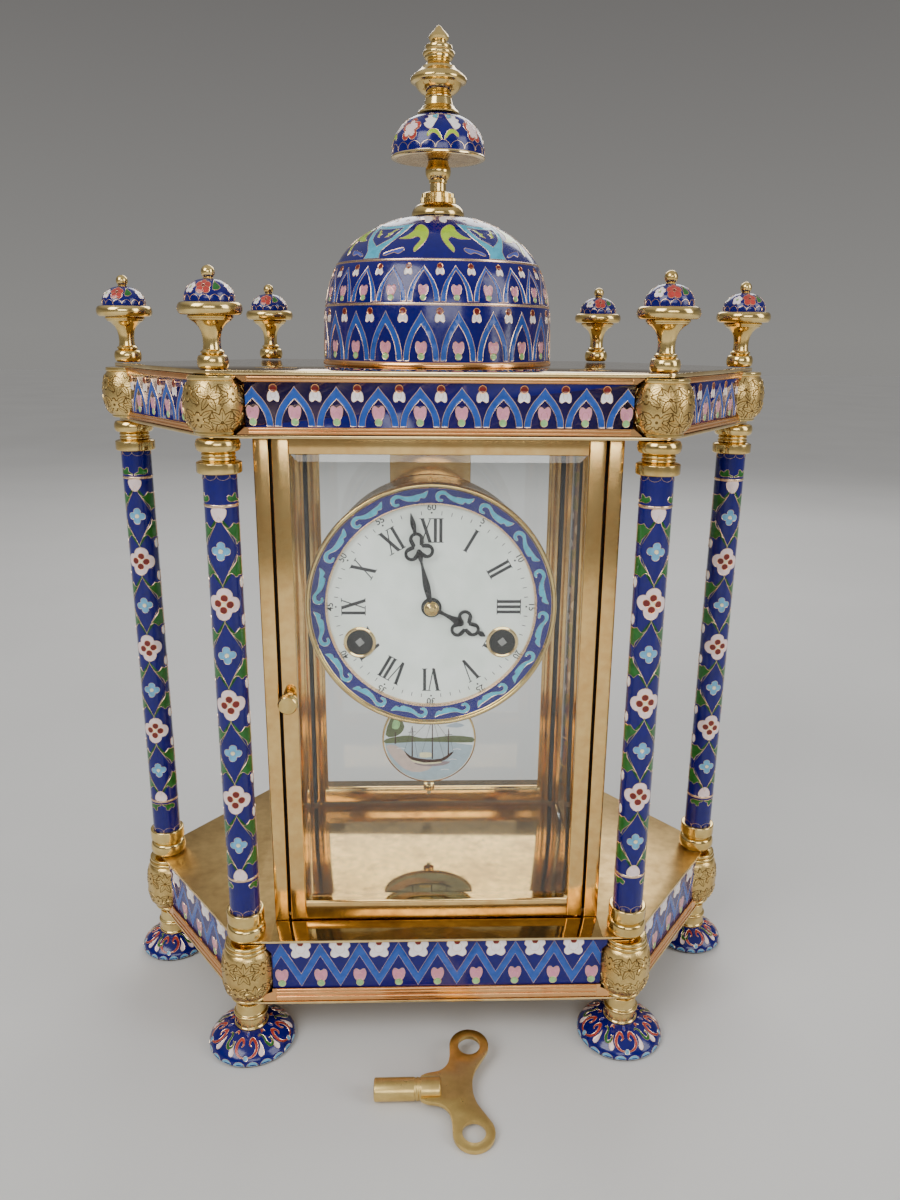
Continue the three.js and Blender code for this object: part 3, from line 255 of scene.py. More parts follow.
def clear_glass(name, colour):
    """Clear glass with faint smears, which lamps shine through."""
    work = Finish(name)
    work.set(Base_Color=colour, Transmission_Weight=1.0, IOR=1.46)
    work.feed(work.ramp(work.noise(30, detail=6, roughness=0.6), (0.5, 0.0), (0.78, 0.05)), "Roughness")
    output = work.nodes["Material Output"]
    path = work.nodes.new("ShaderNodeLightPath")
    through = work.nodes.new("ShaderNodeBsdfTransparent")
    through.inputs["Color"].default_value = (0.93, 0.96, 0.95, 1)
    mix = work.nodes.new("ShaderNodeMixShader")
    work.links.new(path.outputs["Is Shadow Ray"], mix.inputs[0])
    work.links.new(work.shader.outputs[0], mix.inputs[1])
    work.links.new(through.outputs[0], mix.inputs[2])
    work.links.new(mix.outputs[0], output.inputs["Surface"])
    return work


clear_glass("glass", (0.97, 0.99, 0.985, 1))


# ---- Pieces ----

def paint(faces, finish):
    for face in faces:
        face.material_index = FINISH_NUMBER[finish]


def piece(name, work, body, slot, *nodes, crisp=34):
    """Finish a work as an object in metres that rides on a body and stands for CAD nodes."""
    bmesh.ops.scale(work, vec=(MM, MM, MM), verts=work.verts)
    used = sorted({face.material_index for face in work.faces})
    for face in work.faces:
        face.material_index = used.index(face.material_index)
    mesh = bpy.data.meshes.new(name)
    for number in used:
        mesh.materials.append(FINISHES[number])
    work.to_mesh(mesh)
    work.free()
    mesh.shade_smooth()
    mesh.set_sharp_from_angle(angle=math.radians(crisp))
    thing = bpy.data.objects.new(name, mesh)
    bpy.context.scene.collection.objects.link(thing)
    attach(thing, body)
    if nodes:
        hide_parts(*nodes)
    return thing


def joined(*works):
    """Several works as one."""
    whole = bmesh.new()
    for work in works:
        carrier = bpy.data.meshes.new("carrier")
        work.to_mesh(carrier)
        work.free()
        whole.from_mesh(carrier)
        bpy.data.meshes.remove(carrier)
    return whole


def moved(work, x=0.0, y=0.0, z=0.0):
    bmesh.ops.translate(work, vec=(x, y, z), verts=work.verts)
    return work


def rotated(work, degrees, axis="Z"):
    bmesh.ops.rotate(work, cent=(0, 0, 0), matrix=Matrix.Rotation(math.radians(degrees), 3, axis),
        verts=work.verts)
    return work


def facing_front(work, x, y, z):
    """Stand up a work drawn flat, right and up, so that it faces the front at a place."""
    return moved(rotated(work, 90, "X"), x, y, z)


def outward(work):
    bmesh.ops.recalc_face_normals(work, faces=work.faces)
    return work


def cut(work, place, normal, clear=False):
    """Cut through a whole work on a plane, and say what lies on the cut."""
    everything = work.verts[:] + work.edges[:] + work.faces[:]
    return bmesh.ops.bisect_plane(work, geom=everything, dist=0.002, plane_co=place, plane_no=normal,
                                  clear_outer=clear)["geom_cut"]


def thickened(work, depth):
    """Raise a flat sheet into a slab."""
    top = bmesh.ops.extrude_face_region(work, geom=work.faces[:], use_keep_orig=True)["geom"]
    corners = [v for v in top if isinstance(v, bmesh.types.BMVert)]
    bmesh.ops.translate(work, vec=(0, 0, depth), verts=corners)
    return outward(work)


def raised(profile, height):
    """A profile lifted to a height."""
    return [(radius, height + z) for radius, z in profile]


def limits(node):
    """Lowest and highest corner of a CAD node in millimetres."""
    low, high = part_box(node)
    return low / MM, high / MM


def from_node(node):
    """The CAD node's own shape as a closed work in millimetres."""
    work = bmesh.new()
    work.from_mesh(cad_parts[node].data)
    bmesh.ops.scale(work, vec=(1 / MM,) * 3, verts=work.verts)
    bmesh.ops.remove_doubles(work, verts=work.verts, dist=0.001)
    return work


def eased(profile, ease, steps=3):
    """A profile with its inner corners rounded."""
    result = [profile[0]]
    for before, corner, after in zip(profile, profile[1:], profile[2:]):
        before, corner, after = Vector(before), Vector(corner), Vector(after)
        to_before, to_after = before - corner, after - corner
        reach = min(ease, 0.45 * to_before.length, 0.45 * to_after.length)
        start, end = corner + to_before.normalized() * reach, corner + to_after.normalized() * reach
        for step in range(steps + 1):
            t = step / steps
            result.append(tuple((1 - t) ** 2 * start + 2 * t * (1 - t) * corner + t * t * end))
    return result + [profile[-1]]


def bulge(radius, low, high, out, steps=7):
    """Part of a profile: a round bead that stands out from a radius."""
    return [(radius + out * math.sin(math.pi * i / steps),
        low + (high - low) * (1 - math.cos(math.pi * i / steps)) / 2) for i in range(steps + 1)]


def turned(profile, finish, steps=64, closed=False):
    """A profile of radius and height spun round the upright axis."""
    work = bmesh.new()
    points = [work.verts.new((radius, 0, height)) for radius, height in profile]
    edges = [work.edges.new(pair) for pair in zip(points, points[1:])]
    if closed:
        edges.append(work.edges.new((points[-1], points[0])))
    bmesh.ops.spin(work, geom=points + edges, cent=(0, 0, 0), axis=(0, 0, 1), dvec=(0, 0, 0),
                   angle=TURN, steps=steps, use_merge=True, use_duplicate=False)
    bmesh.ops.remove_doubles(work, verts=work.verts, dist=0.0005)
    paint(work.faces, finish)
    return outward(work)


def band(work, low, high, finish):
    """Give the faces between two heights another finish."""
    paint([f for f in work.faces if low < f.calc_center_median().z < high], finish)
    return work


def block(x0, x1, y0, y1, z0, z1, finish, ease=0.4, segments=2):
    """A bar with eased edges."""
    work = bmesh.new()
    bmesh.ops.create_cube(work, size=1)
    bmesh.ops.scale(work, vec=(x1 - x0, y1 - y0, z1 - z0), verts=work.verts)
    moved(work, (x0 + x1) / 2, (y0 + y1) / 2, (z0 + z1) / 2)
    if ease:
        bmesh.ops.bevel(work, geom=work.edges[:], offset=ease, segments=segments, affect="EDGES",
            profile=0.5, material=-1)
    paint(work.faces, finish)
    return work


def rod(radius, low, high, finish, steps=24, ease=0.3):
    return turned(eased([(0, low), (radius, low), (radius, high), (0, high)], ease), finish, steps)


# ---- Drawing flat shapes ----

def circle(x, y, radius, points=14):
    return [(x + radius * math.cos(TURN * i / points), y + radius * math.sin(TURN * i / points))
        for i in range(points)]


def petals(x, y, radius, count, plump=0.48, turn=90.0, tall=1.0, steps=8, core=0.4):
    """The outline of a flower with round petals, one of them at the given angle."""
    lobe = plump * radius
    far = radius - lobe
    points = []
    for i in range(count * steps):
        swing = (i % steps / steps - 0.5) * TURN / count
        aside = far * abs(math.sin(swing))
        reach = far * math.cos(swing) + math.sqrt(lobe * lobe - aside * aside) if aside < lobe else 0
        reach = max(reach, core * radius)
        angle = swing + math.radians(turn) + TURN * (i // steps) / count
        points.append((x + reach * math.cos(angle), y + tall * reach * math.sin(angle)))
    return points


def flowing(points, steps=3, closed=True):
    """A smooth line through a few points."""
    count = len(points)
    result = []
    spans = count if closed else count - 1
    for i in range(spans):
        if closed:
            a, b, c, d = (Vector(points[(i + k) % count]) for k in (-1, 0, 1, 2))
        else:
            a, b, c, d = (Vector(points[min(max(i + k, 0), count - 1)]) for k in (-1, 0, 1, 2))
        for step in range(steps):
            t = step / steps
            result.append(tuple(0.5 * (2 * b + (c - a) * t + (2 * a - 5 * b + 4 * c - d) * t * t
                                       + (3 * b - a - 3 * c + d) * t ** 3)))
    if not closed:
        result.append(tuple(points[-1]))
    return result


def mirrored(points):
    return [(-x, y) for x, y in reversed(points)]


def whole(half):
    """A closed smooth outline from its left half."""
    return flowing(half + mirrored(half), 2)


def bow(x, half, foot, shoulder, top, share=0.8):
    """A low arch as a line."""
    return flowing([(x - half, foot), (x - share * half, shoulder), (x, top),
                    (x + share * half, shoulder), (x + half, foot)], 2, closed=False)


def grown(points, factor):
    """An outline made larger about its middle."""
    x = sum(point[0] for point in points) / len(points)
    y = sum(point[1] for point in points) / len(points)
    return [(x + (px - x) * factor, y + (py - y) * factor) for px, py in points]


def upturned(points):
    return [(x, -y) for x, y in reversed(points)]


def shifted(points, x, y, turn=0.0, size=1.0):
    c, s = math.cos(math.radians(turn)), math.sin(math.radians(turn))
    return [(x + size * (px * c - py * s), y + size * (px * s + py * c)) for px, py in points]


def ribbon(points, width, taper=False):
    """The outline of a line drawn with a width."""
    left, right = [], []
    last = len(points) - 1
    for i, point in enumerate(points):
        along = (Vector(points[min(i + 1, last)]) - Vector(points[max(i - 1, 0)])).normalized()
        half = width / 2 * (0.3 + 0.7 * math.sin(math.pi * i / last) if taper else 1)
        side = Vector((-along.y, along.x)) * half
        left.append(tuple(Vector(point) + side))
        right.append(tuple(Vector(point) - side))
    return right + left[::-1]


# ---- Laying enamel ----

BED = 0.14       # how far a patch reaches below the surface that it lies on
FACE = 0.06      # how far its enamel stands above that surface
WIRE = 0.42      # width of the wire round it
CREST = 0.08     # how far the wire stands above the enamel


def slab(work, points, finish, low, high, ease=0.0):
    """A flat outline raised from one height to another."""
    corners = [work.verts.new((x, y, low)) for x, y in points]
    top = work.faces.new(corners)
    top.normal_update()
    if top.normal.z < 0:
        top.normal_flip()
    walls = bmesh.ops.inset_individual(work, faces=[top], thickness=ease, depth=high - low,
        use_even_offset=True)["faces"]
    bottom = work.faces.new(corners)
    paint([top, bottom, *walls], finish)
    return top


def patch(work, points, finish, level=0.0, wire=WIRE, rim="wire_gold"):
    """A patch of enamel inside a raised wire."""
    face = FACE + level
    top = slab(work, points, rim, -BED, face + CREST, wire / 2)
    walls = bmesh.ops.inset_individual(work, faces=[top], thickness=wire / 2, depth=-CREST,
        use_even_offset=True)["faces"]
    paint(walls, rim)
    paint([top], finish)


def both(work, points, finish, level=0.0, wire=WIRE, x=0.0, y=0.0):
    """A patch and its mirror image, on either side of a place."""
    for half in (points, mirrored(points)):
        patch(work, shifted(half, x, y), finish, level, wire)


def wire_line(work, points, width=WIRE, level=0.0, finish="wire_gold", taper=False):
    slab(work, ribbon(points, width, taper), finish, -BED, FACE + CREST + level, 0.3 * width)


def dot(work, x, y, radius, finish, level=0.0, wire=0.3, points=12):
    patch(work, circle(x, y, radius, points), finish, level, wire)


def gridded(work, step, axes=(0,)):
    """Split a flat work into strips, so that it can follow a curved surface."""
    bmesh.ops.triangulate(work, faces=[f for f in work.faces if len(f.verts) > 4])
    for axis in axes:
        normal = [0, 0, 0]
        normal[axis] = 1
        values = [v.co[axis] for v in work.verts]
        place = math.ceil(min(values) / step) * step
        while place < max(values):
            at = [0, 0, 0]
            at[axis] = place
            cut(work, at, normal)
            place += step
    bmesh.ops.remove_doubles(work, verts=work.verts, dist=0.0004)
    return outward(work)


def trimmed(work, reach):
    """Cut a flat work off on both sides at a distance from its middle, and close the cuts."""
    for place, normal in ((-reach, (-1, 0, 0)), (reach, (1, 0, 0))):
        on_cut = cut(work, (place, 0, 0), normal, clear=True)
        edges = [e for e in on_cut if isinstance(e, bmesh.types.BMEdge) and e.is_boundary]
        if edges:
            bmesh.ops.holes_fill(work, edges=edges, sides=0)
    return work


def repeated(unit, count, period, start=0.0):
    """A unit laid side by side."""
    carrier = bpy.data.meshes.new("carrier")
    unit.to_mesh(carrier)
    unit.free()
    row = bmesh.new()
    for i in range(count):
        before = len(row.verts)
        row.from_mesh(carrier)
        row.verts.ensure_lookup_table()
        bmesh.ops.translate(row, vec=(start + i * period, 0, 0), verts=row.verts[before:])
    bpy.data.meshes.remove(carrier)
    return row


def wrapped(work, place):
    """Bend a flat work onto a surface given as a function of across, up and height."""
    for vert in work.verts:
        vert.co = place(*vert.co)
    return work


class Skin:
    """The outside of a turned piece, measured along its profile from the bottom up."""

    def __init__(self, profile, reference):
        self.profile = [Vector(point) for point in profile]
        self.reference = reference
        self.lengths = [0.0]
        for a, b in zip(self.profile, self.profile[1:]):
            self.lengths.append(self.lengths[-1] + (b - a).length)

    def __call__(self, across, along, height):
        along = min(max(along, 0.0), self.lengths[-1] - 1e-6)
        i = max(k for k in range(len(self.lengths) - 1) if self.lengths[k] <= along)
        a, b = self.profile[i], self.profile[i + 1]
        share = (along - self.lengths[i]) / (b - a).length
        point = a.lerp(b, share)
        slope = self.slope(i, share)
        point = point + Vector((slope.y, -slope.x)) * height
        angle = across / self.reference
        return Vector((point.x * math.sin(angle), -point.x * math.cos(angle), point.y))

    def slope(self, i, share):
        here = (self.profile[i + 1] - self.profile[i]).normalized()
        k = i + 1 if share > 0.5 else i - 1
        if not 0 <= k < len(self.profile) - 1:
            return here
        other = (self.profile[k + 1] - self.profile[k]).normalized()
        return here.lerp(other, abs(share - 0.5)).normalized()

    def length_at(self, height):
        """How far along the profile a height is reached."""
        for i, (a, b) in enumerate(zip(self.profile, self.profile[1:])):
            if min(a.y, b.y) <= height <= max(a.y, b.y):
                return self.lengths[i] + (b - a).length * (height - a.y) / ((b.y - a.y) or 1)
        return self.lengths[-1]


# ---- Where things are ----

CORNER_NAMES = ["front_left", "front_right", "right", "back_right", "back_left", "left"]
corner_at = {}
foot_radius = {}
for name in CORNER_NAMES:
    low, high = limits("leg_" + name)
    corner_at[name] = ((low.x + high.x) / 2, (low.y + high.y) / 2)
    foot_radius[name] = (high.x - low.x) / 2

base_plate_low, base_box_low = (limits("base_bottom_plate")[k].z for k in (0, 1))
base_box_high, case_low = (limits("base_top_plate")[k].z for k in (0, 1))
case_high, canopy_low = (limits("canopy_bottom_plate")[k].z for k in (0, 1))
canopy_high, roof = (limits("canopy_top_plate")[k].z for k in (0, 1))


def outline_through_corners(offset):
    """The six corners of the plan, moved outward from the corner axes."""
    places = [Vector(corner_at[name]) for name in CORNER_NAMES]
    result = []
    for i, place in enumerate(places):
        arriving = (place - places[i - 1]).normalized()
        leaving = (places[(i + 1) % 6] - place).normalized()
        first, second = Vector((arriving.y, -arriving.x)), Vector((leaving.y, -leaving.x))
        result.append(place + (first + second) * offset / (1 + first.dot(second)))
    return result


# ---- Feet ----

def foot_unit(radius):
    """Scrolls and petals on a fifth of a foot, from its rim upward."""
    unit = bmesh.new()
    width = TURN * radius / 5
    for i in range(4):
        x = (i - 1.5) * width / 4
        half = width / 8 - 0.35
        patch(unit, [(x - half, 0.4), (x + half, 0.4), (x + 0.9 * half, 1.9), (x + 0.5 * half, 3.0),
                     (x, 3.4), (x - 0.5 * half, 3.0), (x - 0.9 * half, 1.9)], "light_blue", 0, 0.3)
    heart = flowing([(0.5, 5.0), (4.0, 5.9), (6.6, 8.6), (7.0, 12.0), (5.2, 14.6), (2.9, 13.8), (2.3, 11.6),
        (3.8, 10.4)], 3, closed=False)
    petal = flowing([(8.6, 4.6), (10.6, 5.4), (11.4, 8.0), (10.6, 11.6), (9.4, 13.4), (9.2, 10.6),
        (8.4, 8.6), (7.4, 6.6)], 2)
    both(unit, ribbon(heart, 2.5, True), "brick_red", 0.0, 0.32)
    both(unit, petal, "pale_pink", 0.0, 0.32)
    dot(unit, 0, 5.0, 1.6, "light_blue", 0.05)
    vine = flowing([(9.6, 15.4), (12.0, 16.0), (14.2, 14.2), (14.4, 11.0), (16.2, 8.6), (18.6, 9.4),
        (19.0, 11.8), (17.4, 12.4)], 3, closed=False)
    patch(unit, ribbon(vine, 2.3, True), "leaf_green", 0.03, 0.32)
    patch(unit, flowing([(14.2, 16.4), (16.6, 17.4), (19.0, 16.4), (18.2, 18.6), (15.2, 19.0)], 2),
        "brick_red", 0.0, 0.3)
    patch(unit, flowing([(-1.6, 17.2), (0, 15.6), (1.6, 17.2), (1.0, 19.0), (-1.0, 19.0)], 2), "periwinkle",
        0.0, 0.3)
    return unit


def foot_profile(radius):
    return [(radius - 0.5, 1.0), (radius, 2.0), (radius - 0.3, 3.4), (radius - 1.3, 5.2), (radius - 3.4, 7.4),
            (radius - 6.6, 9.6), (radius - 10.2, 11.2), (9.4, 12.0)]


for name, (x, y) in corner_at.items():
    radius = foot_radius[name]
    outside = foot_profile(radius)
    body = turned([(0, 0), (radius - 2.2, 0), (radius - 0.9, 0.3), *flowing(outside, 3, closed=False),
        (0, 12.2)], "navy", 80)
    band(body, -1, 1.2, "black_steel")
    skin = Skin(flowing(outside, 3, closed=False), radius)
    pattern = gridded(foot_unit(radius), 1.9, (0, 1))
    pattern = wrapped(repeated(pattern, 5, TURN * radius / 5), skin)
    piece("foot_" + name, moved(joined(body, pattern), x, y), "clock_case", "frieze_enamel", "leg_" + name)


# ---- Engraved drums ----

def carved(unit, points, level=0.3):
    """A raised bright shape on a dark ring of punched brass, the ring painted shade in the crease round it.
    """
    slab(unit, grown(points, 1.2), "punched_brass_and_painted_shade", -0.2, 0.05, 0.1)
    slab(unit, points, "engraved_brass", -0.2, level, 0.26)


def sprig(unit, x, y, directions, away, size):
    """Veined leaves that spread from a point."""
    leaf = flowing([(0, 0), (1.5, 1.4), (1.7, 3.4), (0.2, 6.8), (-1.3, 3.8), (-1.4, 1.4)], 2)
    for number, degrees in enumerate(directions):
        angle = math.radians(degrees)
        at = (x + away * math.cos(angle), y + away * math.sin(angle))
        carved(unit, shifted(leaf, *at, degrees - 90, size), 0.24 + 0.05 * (number % 3))
        vein = shifted([(0, 0.8), (0.1, 5.0)], *at, degrees - 90, size)
        slab(unit, ribbon(vein, 0.3), "punched_brass_and_painted_shade", -0.2, 0.41, 0.05)


def engraved_unit(width, height):
    """Half of a drum's foliage, raised from its stippled ground."""
    unit = bmesh.new()
    middle = height / 2
    for half in (0, 1):
        for i in range(4):
            x, y = (i + 0.5 * half - 1.5) * width / 4, middle * (0.5 + half)
            if (i + half) % 2:
                sprig(unit, x, y, (32, 148, 212, 328), 2.5, 0.82)
                carved(unit, petals(x, y, 3.3, 6, 0.36, 90, 1.0, 4), 0.4)
                slab(unit, circle(x, y, 1.0, 8), "punched_brass_and_painted_shade", -0.2, 0.5, 0.3)
            else:
                sprig(unit, x, y - 1.2, (12, 52, 92, 132, 168, 242, 298), 0.5, 0.86)
            for lean in (-1, 1):
                stem = flowing([(x + lean * 5.6, y - 5.4), (x + lean * 4.4, y - 3.0),
                    (x + lean * 5.6, y + 0.4), (x + lean * 4.6, y + 3.6)], 2, closed=False)
                slab(unit, ribbon(stem, 0.45), "punched_brass_and_painted_shade", -0.2, 0.08, 0.05)
    return unit


def engraved_barrel(profile, reference, margin):
    """Foliage round a barrel; the incised line round its middle is turned into the drum's own profile."""
    skin = Skin(profile, reference)
    height = skin.lengths[-1] - 2 * margin
    width = TURN * reference / 2
    pattern = repeated(gridded(engraved_unit(width, height), 2.3, (0, 1)), 2, width)
    return wrapped(moved(pattern, 0, margin, 0), skin)


def barrel(low, high, r_low, r_middle, r_high, steps=12):
    """A barrel's outside, fullest a little above its middle."""
    points = []
    for i in range(steps + 1):
        t = i / steps
        end = r_low + (r_high - r_low) * t
        points.append((end + (r_middle - end) * math.sin(math.pi * t) ** 0.62, low + (high - low) * t))
    return points


def incised(profile, at, depth=0.3, half=0.45):
    """A profile with a groove round it at a height."""
    result = []
    for a, b in zip(profile, profile[1:]):
        result.append(a)
        if a[1] < at < b[1]:
            radius = a[0] + (b[0] - a[0]) * (at - a[1]) / (b[1] - a[1])
            result += [(radius, at - half), (radius - depth, at), (radius, at + half)]
    return result + [profile[-1]]


neck_low, neck_high = 12.0, base_plate_low - 0.3
drum_low, drum_high = base_box_low + 0.3, base_box_high - 0.3
base_barrel = barrel(drum_low + 3.0, drum_high - 5.2, 10.6, 14.2, 11.8)
base_middle = (base_barrel[0][1] + base_barrel[-1][1]) / 2
base_turning = [(0, drum_low), (9.0, drum_low), (9.6, drum_low + 0.5),
    *bulge(9.6, drum_low + 0.7, drum_low + 2.7, 0.9), *incised(base_barrel, base_middle),
    (11.2, drum_high - 4.8), *bulge(11.2, drum_high - 4.6, drum_high - 2.5, 0.8),
    *bulge(10.8, drum_high - 2.3, drum_high - 0.2, 0.7), (0, drum_high - 0.1)]
neck_turning = [(0, neck_low), (9.2, neck_low), (9.2, neck_low + 1.0), (8.6, neck_low + 1.6),
    (8.6, neck_low + 6.2), *bulge(8.6, neck_low + 6.4, neck_low + 8.2, 0.7), (8.0, neck_low + 8.6),
    (8.0, neck_high), (0, neck_high)]
for name, (x, y) in corner_at.items():
    drum = band(turned(base_turning, "turned_brass", 72), base_barrel[0][1], base_barrel[-1][1],
        "engraved_brass")
    foliage = engraved_barrel(base_barrel, 14.0, 0.6)
    neck = turned(eased(neck_turning, 0.3), "turned_brass", 56)
    piece("base_drum_" + name, moved(joined(drum, foliage, neck), x, y), "clock_case", "turned_brass",
        "leg_" + name)

cap_low, cap_high = canopy_low + 0.3, canopy_high - 0.3
canopy_barrel = barrel(cap_low + 1.6, cap_high - 2.2, 10.9, 14.4, 11.6)
canopy_middle = (canopy_barrel[0][1] + canopy_barrel[-1][1]) / 2
canopy_turning = [(0, cap_low), (10.2, cap_low), (10.6, cap_low + 0.5), (10.6, cap_low + 1.3),
    *incised(canopy_barrel, canopy_middle), (11.9, cap_high - 1.9), (12.1, cap_high - 1.4),
    (12.0, cap_high - 0.3), (11.7, cap_high), (0, cap_high)]
for name, (x, y) in corner_at.items():
    drum = band(turned(canopy_turning, "turned_brass", 72), canopy_barrel[0][1], canopy_barrel[-1][1],
        "engraved_brass")
    foliage = engraved_barrel(canopy_barrel, 14.2, 0.5)
    piece("upper_drum_" + name, moved(joined(drum, foliage), x, y), "clock_case", "turned_brass",
        "canopy_drum_" + name)


# ---- Columns ----

COLUMN_RADIUS = 7.9
COLUMN_PERIOD = 51.2
shaft_low, shaft_high = case_low + 16.5, case_high - 16.3
small_bloom_at = [shaft_high - 35.6 - i * COLUMN_PERIOD for i in range(4)]
half_turn = math.pi * COLUMN_RADIUS


def column_leaf():
    return flowing([(0.2, 15.8), (1.9, 12.8), (3.7, 11.0), (5.4, 11.7), (6.9, 13.3), (8.7, 12.4),
        (11.8, 12.3), (11.9, 7.4), (11.5, 3.3), (9.8, 3.4), (8.2, 2.4), (7.3, 5.1), (4.4, 8.4), (2.1, 11.6)],
        2)


def half_bloom(unit, at, up):
    """Half a pale flower that grows from a ring."""
    outline = whole([(-3.0, 0.0), (-3.8, 2.4), (-2.9, 4.6), (-1.2, 6.6)])
    patch(unit, shifted(outline if up else upturned(outline), 0, at), "pale_pink", 0.02, 0.34)


def column_pattern():
    """The flowers and leaves on the front half of a shaft."""
    unit = bmesh.new()
    leaf = column_leaf()
    for number, at in enumerate(small_bloom_at):
        at -= shaft_low
        patch(unit, petals(0, at, 4.7, 4, 0.45, 86 + (number % 2) * 9), "light_blue", 0.03, 0.3)
        dot(unit, 0, at, 1.25, "cream", 0.08)
        for shape in (leaf, upturned(leaf)):
            both(unit, shape, "leaf_green", 0.0, 0.34, 0, at)
        if number < len(small_bloom_at) - 1:
            big = at - COLUMN_PERIOD / 2
            tilt = 84 + (number % 2) * 12
            patch(unit, petals(0, big, 8.2, 4, 0.5, tilt), "pale_pink", 0.03, 0.34)
            for k in range(4):
                angle = math.radians(90 * k + tilt)
                patch(unit, circle(2.95 * math.cos(angle), big + 2.95 * math.sin(angle), 2.0, 12),
                    "dark_red", 0.07, 0.34, "rail_copper")
                angle += math.radians(45)
                wire_line(unit, [(2.0 * math.cos(angle), big + 2.0 * math.sin(angle)),
                    (5.4 * math.cos(angle), big + 5.4 * math.sin(angle))], 0.2)
            dot(unit, 0, big, 1.3, "cream", 0.1)
            bud = flowing([(0, -3.0), (1.6, -0.8), (1.2, 1.8), (0, 3.0), (-1.2, 1.8), (-1.6, -0.8)], 2)
            for side in (-1, 1):
                for lift in (-9.4, 9.4):
                    patch(unit, shifted(bud, side * (half_turn / 2 - 1.9), big + lift), "white_petal", 0.02,
                        0.3)
    top, bottom = small_bloom_at[0] - shaft_low, small_bloom_at[-1] - shaft_low
    half_bloom(unit, top + 20.4, False)
    half_bloom(unit, bottom - 20.4, True)
    for i in range(4):
        x = (i - 1.5) * half_turn / 4
        for at, lean in ((shaft_high - shaft_low - 0.2, -1), (0.2, 1)):
            wire_line(unit, bow(x, half_turn / 8, at, at + lean * 1.5, at + lean * 2.4), 0.26)
    return unit


def column_ends():
    """Pairs of leaves beyond the rings, with a bud between them."""
    unit = bmesh.new()
    leaf = flowing([(0.3, 0.2), (3.0, 0.6), (6.2, 0.4), (8.4, 2.0), (7.4, 4.2), (5.6, 3.4), (4.2, 4.8),
        (2.6, 4.6), (2.4, 2.4), (0.4, 1.4)], 2)
    for at, lean in ((small_bloom_at[0] - shaft_low + 22.2, 1), (small_bloom_at[-1] - shaft_low - 22.2, -1)):
        both(unit, leaf if lean > 0 else upturned(leaf), "leaf_green", 0.0, 0.32, 0, at)
    return unit


column_work = repeated(gridded(column_pattern(), TURN * COLUMN_RADIUS / 40), 2, half_turn)
end_work = repeated(gridded(column_ends(), TURN * COLUMN_RADIUS / 40), 2, half_turn)
column_skin = Skin([(COLUMN_RADIUS, shaft_low), (COLUMN_RADIUS, shaft_high)], COLUMN_RADIUS)
column_work = wrapped(column_work, column_skin)
end_work = wrapped(end_work, column_skin)
shaft = turned([(0, shaft_low - 0.2), (COLUMN_RADIUS, shaft_low - 0.2), (COLUMN_RADIUS, shaft_high + 0.2),
    (0, shaft_high + 0.2)], "navy", 40)
rings = [turned(bulge(COLUMN_RADIUS - 0.1, at - 0.75, at + 0.75, 0.32), "wire_gold", 56, closed=True)
         for at in (small_bloom_at[0] + 21.0, small_bloom_at[-1] - 21.0)]
column_work = joined(shaft, column_work, *rings)

foot_at, head_at = case_low + 0.3, case_high - 0.3
column_foot = [*eased([(0, foot_at), (8.9, foot_at)], 0.2),
    *bulge(8.9, foot_at + 0.2, foot_at + 7.6, 1.4, 10),
    *eased([(8.3, foot_at + 8.0), (8.3, foot_at + 9.0), (9.9, foot_at + 9.8), (9.9, shaft_low - 0.5),
    (9.5, shaft_low), (7.6, shaft_low), (7.6, shaft_low - 2), (0, shaft_low - 2)], 0.35)]
column_head = [*eased([(0, shaft_high + 2), (7.6, shaft_high + 2), (7.6, shaft_high), (9.8, shaft_high),
                       (10.4, shaft_high + 0.5), (10.4, shaft_high + 5.0), (9.0, shaft_high + 5.6)], 0.35),
               *bulge(7.2, shaft_high + 5.9, shaft_high + 7.7, 0.8),
               *bulge(7.2, shaft_high + 7.8, shaft_high + 9.4, 0.7),
               *bulge(8.9, head_at - 6.0, head_at - 0.2, 1.4, 10), (0, head_at)]
column_brass = joined(turned(column_foot, "turned_brass", 64), turned(column_head, "turned_brass", 64))
for name, (x, y) in corner_at.items():
    ends = rotated(end_work.copy(), 90 if "front" in name else 0)
    piece("shaft_" + name, moved(joined(column_work.copy(), ends), x, y), "clock_case", "column_enamel",
        "column_" + name)
    piece("collars_" + name, moved(column_brass.copy(), x, y), "clock_case", "turned_brass", "column_" + name)


# ---- Finials ----

def cap_unit(width):
    """A third of a finial's cap."""
    unit = bmesh.new()
    patch(unit, petals(-0.6, 7.2, 4.6, 5, 0.46, 90), "brick_red", 0.0, 0.34)
    dot(unit, -0.6, 7.2, 1.1, "dark_red", 0.05)
    for k in range(5):
        angle = math.radians(72 * k + 54)
        wire_line(unit, [(-0.6 + 1.2 * math.cos(angle), 7.2 + 1.2 * math.sin(angle)),
                         (-0.6 + 3.0 * math.cos(angle), 7.2 + 3.0 * math.sin(angle))], 0.26)
    patch(unit, flowing([(3.8, 5.0), (6.2, 4.6), (8.6, 6.2), (7.6, 8.6), (6.4, 11.0), (5.2, 9.0),
        (4.4, 7.6)], 2), "leaf_green", 0.0, 0.34)
    patch(unit, petals(-8.2, 6.4, 3.3, 5, 0.44, 90), "white_petal", 0.0, 0.3)
    dot(unit, -8.2, 6.4, 1.0, "light_green", 0.05)
    for i in range(5):
        wire_line(unit, bow((i - 2) * width / 5, width / 10, 0.4, 1.9, 2.9), 0.4)
    return unit


